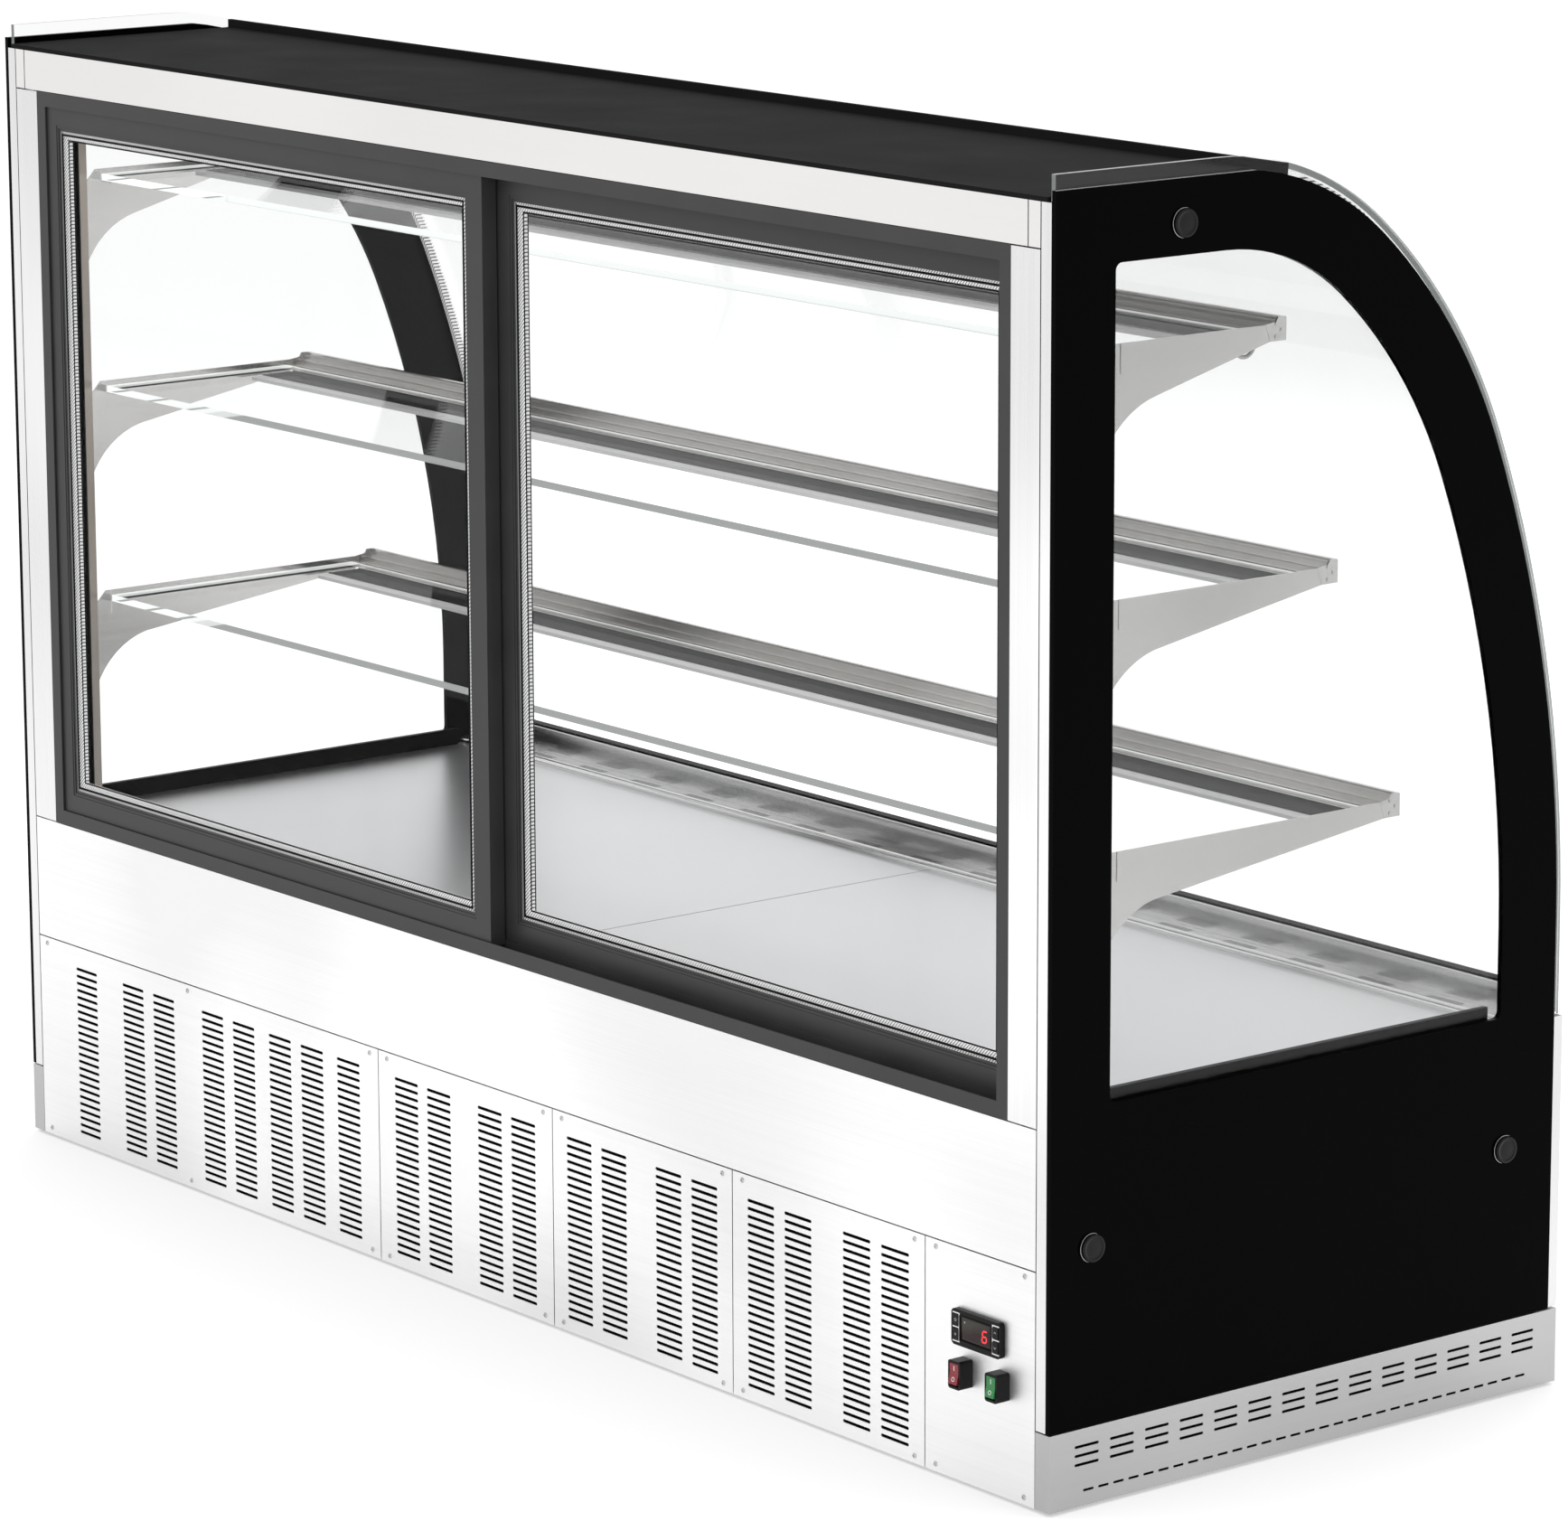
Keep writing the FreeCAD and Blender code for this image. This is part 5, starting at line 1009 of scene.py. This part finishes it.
@dataclass
class Thermostat:
    """Display window, its digit and symbol, the raised surround and the printed key brackets."""

    face: float = 0.361
    lens_gap: float = 0.0004
    lens_corner: float = 0.001
    lens_rise: Rows = ((0.0, -0.0012), (0.0, -0.0006), (0.0006, -0.0003), (0.004, -0.0002))
    surround: Rows = (
        (-0.0014, -0.0003), (-0.0011, 0.0010), (-0.0004, 0.0012), (0.0, -0.0001), (0.0002, -0.0006),
    )
    sunk: float = 0.0002
    digit_size: tuple[float, float] = (0.0066, 0.0118)
    digit_place: tuple[float, float] = (0.0135, -0.0008)
    stroke: float = 0.0017
    slant: float = 0.14
    digit_thick: float = 0.00012
    star_place: tuple[float, float] = (-0.0175, 0.0075)
    star_half: tuple[float, float] = (0.0012, 0.00012)
    star_thick: float = 0.0001
    spine: float = 0.02615
    far: float = 0.0362
    arms: tuple[float, ...] = (-0.0149, 0.0, 0.0149)
    spine_size: tuple[float, float] = (0.0010, 0.0310)
    arm_width: float = 0.0013
    print_lap: float = 0.0004
    print_corner: float = 0.0003
    print_rise: Rows = ((0.0, -0.0001), (0.0, 0.00006), (0.0001, 0.0001))

    def _segment(self, start: Sequence[float], end: Sequence[float]) -> Shell:
        """One display segment: a bar with pointed ends, leaning with the digit.

        Args:
            start: one end in (u, v).
            end: other end in (u, v).

        Returns:
            The segment's shell in (u, v, out).
        """
        a, b = np.asarray(start, float), np.asarray(end, float)
        along = (b - a) / np.linalg.norm(b - a)
        side = np.array([-along[1], along[0]]) * self.stroke / 2
        tip = along * self.stroke / 2
        a, b = a + tip * 0.25, b - tip * 0.25
        outline = np.stack([a, a + tip - side, b - tip - side, b, b - tip + side, a + tip + side])
        outline[:, 0] += outline[:, 1] * self.slant
        return slab(outline, 0.0, self.digit_thick)

    def digit(self) -> Shell:
        """A seven-segment 6 at its place in the window.

        Returns:
            The lit segments in (u, v, out).
        """
        w, h = self.digit_size[0] / 2, self.digit_size[1] / 2
        runs = (
            ((-w, h), (w, h)), ((-w, h), (-w, 0)), ((-w, 0), (w, 0)),
            ((-w, 0), (-w, -h)), ((w, 0), (w, -h)), ((-w, -h), (w, -h)),
        )
        whole = merged([self._segment(*run) for run in runs])
        whole.points[:, :2] += self.digit_place
        return whole

    def star(self) -> Shell:
        """Small six-armed frost sign: three thin bars turned by sixty degrees.

        Returns:
            The sign in (u, v, out).
        """
        long, thin = self.star_half
        bar = np.array([[-long, -thin], [long, -thin], [long, thin], [-long, thin]])
        turns = np.radians([0.0, 60.0, 120.0])
        spins = [np.array([[np.cos(a), np.sin(a)], [-np.sin(a), np.cos(a)]]) for a in turns]
        return merged([slab(bar @ spin + self.star_place, 0.0, self.star_thick) for spin in spins])

    def brackets(self) -> Shell:
        """Printed brackets that open away from the window, one for each column of keys.

        Returns:
            The brackets in (u, v, out).
        """
        bars = []
        for spine, far in ((-self.spine, -self.far), (self.spine, self.far)):
            bars.append((spine, 0.0, *self.spine_size))
            bars += [((spine + far) / 2, v, abs(far - spine), self.arm_width) for v in self.arms]
        prints = []
        for u, v, wide, high in bars:
            outline = rounded_rectangle(wide + self.print_lap, high, self.print_corner, 3)
            prints.append(loft(plate(outline, self.print_rise) + (u, v, 0)))
        return merged(prints)

    def _laid(self, shell: Shell, depth: float = 0.0) -> Shell:
        """A shell in (u, v, out) laid on the thermostat's face, or that deep in it."""
        return Shell(service_side(shell.points, *THERMOSTAT, self.face - depth), shell.faces)

    def build(self, shop: Workshop) -> None:
        """Builds the pieces on the thermostat's face.

        Args:
            shop: the workshop.
        """
        (x, z), (w, h) = THERMOSTAT, THERMOSTAT_WINDOW
        outline = rounded_rectangle(w - self.lens_gap, h - self.lens_gap, self.lens_corner)
        lens = loft(plate(outline, self.lens_rise))
        edge = [(inset, self.face + out) for inset, out in self.surround]
        ring = mitred_ring(edge, (x - w / 2, x + w / 2), (z - h / 2, z + h / 2))
        smoked = DisplayLens("display_lens", THERMOSTAT, (w / 2, h / 2))
        red, pale = Lit("digit_red", (0.9, 0.03, 0.04), 1.0), Lit("sign_pale", (0.55, 0.55, 0.5), 0.4)
        # the printed key brackets glow as painted light, though print is no lamp
        print_white_glow = Lit("print_white_glow", (0.85, 0.85, 0.84), 0.25)
        for name, shell, slot, finish in (
            ("lens", self._laid(lens), "control_plastic", smoked),
            ("digit", self._laid(self.digit(), self.sunk), "red_plastic", red),
            ("frost_sign", self._laid(self.star(), self.sunk), "control_plastic", pale),
            ("surround", ring, "control_plastic", None),
            ("key_brackets", self._laid(self.brackets()), "lamp_cover", print_white_glow),
        ):
            shop.piece(f"thermostat_{name}", shell, slot, finish)


@dataclass
class KeySigns:
    """Small moulded signs on the four thermostat keys."""

    half: float = 0.0017
    tip: float = 0.5                        # half the chevron's height, as a share of its half width
    chevron: float = 0.0009
    light_ring: float = 0.75                # size of the light key's ring beside the set key's
    ring: float = 0.0006
    back: float = -0.0001
    front: float = 0.00012

    def _sign(self, key: str) -> Shell:
        """Sign of one key in (u, v, out): a chevron up or down, or a ring.

        Args:
            key: the key's name.

        Returns:
            The sign's shell.
        """
        if key in ("up_key", "down_key"):
            s, rise = self.half, self.half * self.tip
            line = np.array([[-s, -rise], [0, rise], [s, -rise]])
            outline = np.concatenate([line, line[::-1] + [0, self.chevron]])
            outline[:, 1] *= 1.0 if key == "up_key" else -1.0
            return slab(outline, self.back, self.front)
        wide = self.half if key == "set_key" else self.half * self.light_ring
        return hoop(wide, wide - self.ring, self.back, self.front, 24)

    def build(self, shop: Workshop) -> None:
        """Builds one sign on each key, riding with it.

        Args:
            shop: the workshop.
        """
        # the moulded key signs glow faintly as painted light
        finish = Lit("sign_grey_glow", (0.45, 0.45, 0.44), 0.1)
        for key in ("set_key", "light_key", "up_key", "down_key"):
            low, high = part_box(key)
            sign = self._sign(key)
            sign.points = service_side(sign.points, (low.x + high.x) / 2, (low.z + high.z) / 2, high.y)
            shop.piece(f"{key}_sign", sign, "lamp_cover", finish, key)


@dataclass
class RockerMarks:
    """Line and ring signs on the two faces of a rocker key."""

    colour: str
    tilt: float = -7.0
    pivot_out: float = 0.008
    pivot_height: float = 0.122
    reach: float = 0.0107
    rise: float = 0.0105
    valley: float = 0.0091
    line: tuple[float, float] = (0.0012, 0.0052)
    line_up: float = 0.0058
    ring: tuple[float, float] = (0.0024, 0.0016)
    ring_down: float = 0.0056
    corner: float = 0.0003
    back: float = -0.0002
    edge: float = 0.0001
    front: float = 0.00014

    def _placed(self, points: np.ndarray, x: float) -> np.ndarray:
        """Lays (u, v, out) points on the rocker's sloping faces and tilts them with it.

        Out gains the height of the face: valley plus (rise less valley) times the share of the
        reach; v and out then turn about the pivot by the tilt.

        Args:
            points: the sign's points.
            x: middle of the rocker.

        Returns:
            The points in the frame.
        """
        v = points[..., 1]
        out = points[..., 2] + self.valley + (self.rise - self.valley) * np.abs(v) / self.reach
        a = np.radians(self.tilt)
        height = self.pivot_height + (v * np.cos(a) - out * np.sin(a))
        forward = SERVICE_FACE + self.pivot_out + (v * np.sin(a) + out * np.cos(a))
        return np.stack([x - points[..., 0], forward, height], -1)

    def build(self, shop: Workshop) -> None:
        """Builds both signs in one piece, riding on the rocker.

        Args:
            shop: the workshop.
        """
        rocker = f"{self.colour}_rocker"
        low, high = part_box(rocker)
        rise = ((0.0, self.back), (0.0, self.edge), (self.edge, self.front))
        line = loft(plate(rounded_rectangle(*self.line, self.corner, 3), rise))
        line.points[:, 1] += self.line_up
        ring = hoop(*self.ring, self.back, self.front, 28)
        ring.points[:, 1] -= self.ring_down
        marks = merged([line, ring])
        marks.points = self._placed(marks.points, (low.x + high.x) / 2)
        # the rocker's marks glow faintly as painted light
        finish = Lit("mark_white_glow", (0.85, 0.85, 0.83), 0.1)
        shop.piece(f"{rocker}_marks", marks, "lamp_cover", finish, rocker)


@dataclass
class PanelScrews:
    """Domed cross-recess screws on the face panels."""

    radius: float = 0.003
    rise: float = 0.0012
    slot_half: float = 0.00045
    slot_reach: float = 0.0017
    slot_depth: float = 0.0007
    apart: float = 0.0075
    sunk: float = 0.0002
    rings: tuple[float, ...] = (1.0, 1.0, 0.96, 0.88, 0.74, 0.6, 0.57, 0.5, 0.4, 0.3, 0.2, 0.16, 0.12)

    def head(self) -> Shell:
        """One head in (u, v, out).

        Height is a shallow dome, rise times (1 - 3/4 (r / radius)^4), less the recess depth where
        the point lies within the cross; the outermost ring drops into the panel.

        Returns:
            The head's shell.
        """
        r = np.array(self.rings) * self.radius
        a = np.linspace(0, TURN, 32, endpoint=False)
        u, v = r[:, None] * np.cos(a), r[:, None] * np.sin(a)
        dome = self.rise * (1 - (r / self.radius) ** 4 * 0.75)
        dome[0] = -self.sunk
        near = np.minimum(np.abs(u), np.abs(v)) < self.slot_half
        inside = near & (np.maximum(np.abs(u), np.abs(v)) < self.slot_reach)
        out = dome[:, None] - self.slot_depth * inside
        return loft(np.stack([u, v, out], -1))

    def places(self) -> np.ndarray:
        """Middles of the heads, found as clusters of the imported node's vertices.

        Returns:
            k x 2 array of X and Z.
        """
        mesh = frame["nodes"]["panel_screws"].data
        points = np.zeros(len(mesh.vertices) * 3)
        mesh.vertices.foreach_get("co", points)
        left = points.reshape(-1, 3)[:, [0, 2]]
        found = []
        while len(left):
            near = np.abs(left - left[0]).max(1) < self.apart
            group = left[near]
            found.append((group.min(0) + group.max(0)) / 2)
            left = left[~near]
        return np.array(found)

    def build(self, shop: Workshop) -> None:
        """Builds every head in one piece.

        Args:
            shop: the workshop.
        """
        places = self.places()
        head = self.head()
        head.points = service_side(head.points, 0.0, 0.0, SERVICE_FACE)
        offsets = np.stack([places[:, 0], np.zeros(len(places)), places[:, 1]], -1)
        shop.piece("cross_screws", head.repeated(offsets), "screw_steel", replaces=["panel_screws"])


@dataclass
class EndCaps:
    """Turned screw caps with a raised rim and a shallow domed face."""

    radius: float = 0.015
    rise: float = 0.005
    shank: float = 0.004
    shank_depth: float = 0.0055
    washer_gap: float = 0.001
    washer: float = 0.0009
    seat: float = 0.0001
    places: tuple[tuple[float, float], ...] = ((0.165, 1.291), (0.628, 0.274), (0.054, 0.272))

    def build(self, shop: Workshop) -> None:
        """Builds all six caps in one piece, and a bright washer under each in another.

        Args:
            shop: the workshop.
        """
        r, h, s = self.radius, self.rise, self.shank
        cap = [
            (s, -self.shank_depth), (s, 0.0), (r - 0.0008, 0.0), (r - 0.0002, 0.0012), (r - 0.0002, h * 0.7),
            (r - 0.0009, h * 0.92), (r - 0.0020, h), (r - 0.0034, h * 0.97), (r - 0.0044, h * 0.86),
            (r - 0.0052, h * 0.84), (r * 0.45, h * 0.9), (0.0005, h * 0.93),
        ]
        inner, low, top = s + self.washer_gap, -self.seat, self.washer
        washer = [(inner, low), (r, low), (r, 0.0006), (r - 0.0005, top), (inner, top)]
        spots = [
            (side, (side * END_FACE, SERVICE_FACE - depth, height))
            for side in (-1.0, 1.0) for depth, height in self.places
        ]
        for name, line, slot, replaces in (
            ("covers", cap, "cap_black", ["end_screw_caps"]), ("washers", washer, "screw_steel", []),
        ):
            turnings = merged([turned(line, spot, side) for side, spot in spots])
            shop.piece(f"screw_cap_{name}", turnings, slot, replaces=replaces)


@dataclass
class ShelfTrays:
    """Dark folded tray over each shelf's lamp plate, seen through the shelf glass."""

    levels: tuple[tuple[str, float, float], ...] = (
        ("top", 1.160, 0.328), ("middle", 0.905, 0.403), ("lower", 0.650, 0.495),
    )
    half_length: float = 0.8965
    width: float = 0.046
    behind_tip: float = 0.037
    depth: float = 0.0014
    pan: float = 0.0005
    lip: float = 0.0003
    flange: float = 0.0012
    flare: float = 0.0020

    def build(self, shop: Workshop) -> None:
        """Builds one tray under each shelf: a shallow pan whose edges turn up to the glass.

        Args:
            shop: the workshop.
        """
        finish = Moulding("lamp_tray_dark", 0.024, 0.018, 0.55, 0.7, 1200.0, 0.08, 0.02)
        for name, level, tip in self.levels:
            near = SERVICE_FACE - (tip - self.behind_tip - self.width)
            far = SERVICE_FACE - (tip - self.behind_tip)
            low, pan, lip = level - self.depth, level - self.depth + self.pan, level - self.lip
            outline = [
                (near, low), (far, low), (far, lip), (far + self.flange, lip), (far + self.flare, pan),
                (near - self.flare, pan), (near - self.flange, lip), (near, lip),
            ]
            shop.piece(f"lamp_tray_{name}", long_bar(outline, self.half_length), "frame_black", finish)


@dataclass
class VentFilters:
    """Pleated dark filter behind the louvres and the end skirts' slots."""

    pleat: float = 0.009
    height: float = 0.0032
    skin: float = 0.0006
    panel_margin: float = 0.004
    panel_gap: float = 0.0045
    skirt_margins: tuple[float, float] = (0.03, 0.006)
    skirt_gap: float = 0.0035

    def sheet(
        self, run: Sequence[float], rise: Sequence[float], face: float, out: float, along_x: bool
    ) -> Shell:
        """Pleated sheet whose section is a zigzag along its length.

        Its distance from the face is the pleat's height times a triangle wave of the run.

        Args:
            run: start and end of its length.
            rise: its foot and upper edge.
            face: coordinate of its outermost ridge.
            out: 1 or -1, the direction in which it faces.
            along_x: True for a run along X, False along Y.

        Returns:
            The sheet's shell.
        """
        count = max(4, int(round((run[1] - run[0]) / (self.pleat / 2))))
        along = np.linspace(*run, count + 1)
        front = face - out * np.where(np.arange(count + 1) % 2 == 0, 0.0, self.height)
        loop = np.concatenate([along, along[::-1]]), np.concatenate([front, front[::-1] - out * self.skin])
        return slab(np.stack(loop if along_x else loop[::-1], -1), *rise)

    def build(self, shop: Workshop) -> None:
        """Builds a filter behind each louvred panel and each skirt.

        Args:
            shop: the workshop.
        """
        finish = Moulding("filter_dark", 0.008, 0.004, 0.75, 0.9, 500.0, 0.4, 0.1)
        edge = self.panel_margin
        for index in range(1, 5):
            low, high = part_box(f"grille_panel_{index}")
            run, rise = (low.x + edge, high.x - edge), (low.z + edge, high.z - edge)
            pleats = self.sheet(run, rise, high.y - self.panel_gap, 1.0, True)
            shop.piece(f"vent_filter_{index}", pleats, "seal_black", finish)
        along, up = self.skirt_margins
        for side, word in ((-1.0, "right"), (1.0, "left")):
            low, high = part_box(f"side_skirt_{word}")
            run, rise = (low.y + along, high.y - along), (low.z + up, high.z - up)
            pleats = self.sheet(run, rise, side * (END_FACE - self.skirt_gap), side, False)
            shop.piece(f"skirt_filter_{word}", pleats, "seal_black", finish)


# ---- stage ---------------------------------------------------------------------------------
@dataclass
class Studio:
    """Pale floor, plain soft light and the camera."""

    place: tuple[float, float, float] = (-5.7436, 4.4843, 2.1277)
    heading: float = 128.36
    dip: float = 12.14
    roll: float = -0.19
    lens: float = 151.87
    floor_half: float = 30.0

    def camera(self) -> None:
        """Sets the camera: forward is (cos dip sin heading, cos dip cos heading, -sin dip)."""
        az, el, ro = np.radians([self.heading, self.dip, self.roll])
        forward = Vector((np.cos(el) * np.sin(az), np.cos(el) * np.cos(az), -np.sin(el)))
        right = forward.cross(Vector((0, 0, 1))).normalized()
        up = right.cross(forward)
        level = right * np.cos(ro) + up * np.sin(ro)
        upright = up * np.cos(ro) - right * np.sin(ro)
        data = bpy.data.cameras.new("camera")
        data.lens, data.sensor_width, data.clip_end = self.lens, 36.0, 200.0
        made = put("camera", data)
        columns = Matrix((level, upright, -forward)).transposed()
        made.matrix_world = Matrix.Translation(self.place) @ columns.to_4x4()
        bpy.context.scene.camera = made

    def world(self) -> None:
        """White where the camera or glass sees it, a soft sky in gloss, plain light elsewhere."""
        world = bpy.data.worlds.new("studio")
        bpy.context.scene.world = world
        t = Tree(cleared(world))
        way = t.add("SeparateXYZ", {0: t.add("TexCoord").outputs["Generated"]})
        sky = t.ramp(way.outputs[2], 0.0, 0.9, 1.0, 0.74)
        plain = t.math("MAXIMUM", t.math("MULTIPLY", t.seen("Glossy"), sky), 0.68)
        strength = t.math("MAXIMUM", t.seen("Camera", "Transmission"), plain)
        light = t.add("Background", {0: shade(1.0), 1: strength})
        t.wire(t.add("OutputWorld"), {0: light.outputs[0]})

    def floor(self) -> None:
        """Wide pale floor that shows white but keeps the case's shadow."""
        grid = np.linspace(-self.floor_half, self.floor_half, 3)
        gx, gy = np.meshgrid(grid, grid)
        points = np.stack([gx, gy, np.zeros_like(gx)], -1).reshape(-1, 3)
        faces = [(i, i + 1, i + 4, i + 3) for i in (0, 1, 3, 4)]
        mesh = bpy.data.meshes.new("floor")
        mesh.from_pydata(points.tolist(), [], faces)
        material = bpy.data.materials.new("floor_pale")
        t = Tree(cleared(material))
        matt = t.add("BsdfDiffuse", {0: shade(0.86)})
        bright = t.math("MULTIPLY", t.seen("Camera", "Transmission", "Glossy"), 0.5)
        glow = t.add("Emission", {0: shade(1.0), 1: bright})
        both = t.add("AddShader", {0: matt.outputs[0], 1: glow.outputs[0]})
        t.wire(t.add("OutputMaterial"), {0: both.outputs[0]})
        mesh.materials.append(material)
        put("floor", mesh)

    def lamps(self) -> None:
        """Three large soft lamps that gloss doesn't show."""
        for name, place, size, power in (
            ("lamp_service", (-3.5, 5.0, 3.4), 3.5, 55.0), ("lamp_top", (0.0, 0.0, 5.0), 4.5, 60.0),
            ("lamp_customer", (2.5, -5.0, 3.0), 3.5, 35.0),
        ):
            data = bpy.data.lights.new(name, "AREA")
            data.size, data.energy = size, power
            lamp = put(name, data)
            lamp.location = place
            lamp.rotation_euler = (Vector((0, 0, 0.6)) - Vector(place)).to_track_quat("-Z", "Y").to_euler()
            lamp.visible_glossy = lamp.visible_camera = lamp.visible_transmission = False

    def build(self) -> None:
        """Sets the whole stage."""
        self.camera()
        self.world()
        self.floor()
        self.lamps()
        scene = bpy.context.scene
        scene.view_settings.view_transform = "Standard"
        bounces = {"max": 24, "transmission": 24, "transparent_max": 32, "glossy": 5, "diffuse": 3}
        for word, count in bounces.items():
            setattr(scene.cycles, f"{word}_bounces", count)
        scene.cycles.caustics_reflective = scene.cycles.caustics_refractive = False


def main() -> None:
    logging.basicConfig(level=logging.INFO, format="%(name)s %(message)s")
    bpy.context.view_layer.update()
    Studio().build()
    shop = Workshop()
    shop.dress_nodes()
    for assembly in (
        CurvedGlass(), DoorGlazing("left"), DoorGlazing("right"), Thermostat(), KeySigns(),
        RockerMarks("red"), RockerMarks("green"), PanelScrews(), EndCaps(), ShelfTrays(), VentFilters(),
    ):
        assembly.build(shop)


if __name__ == "__main__":
    main()
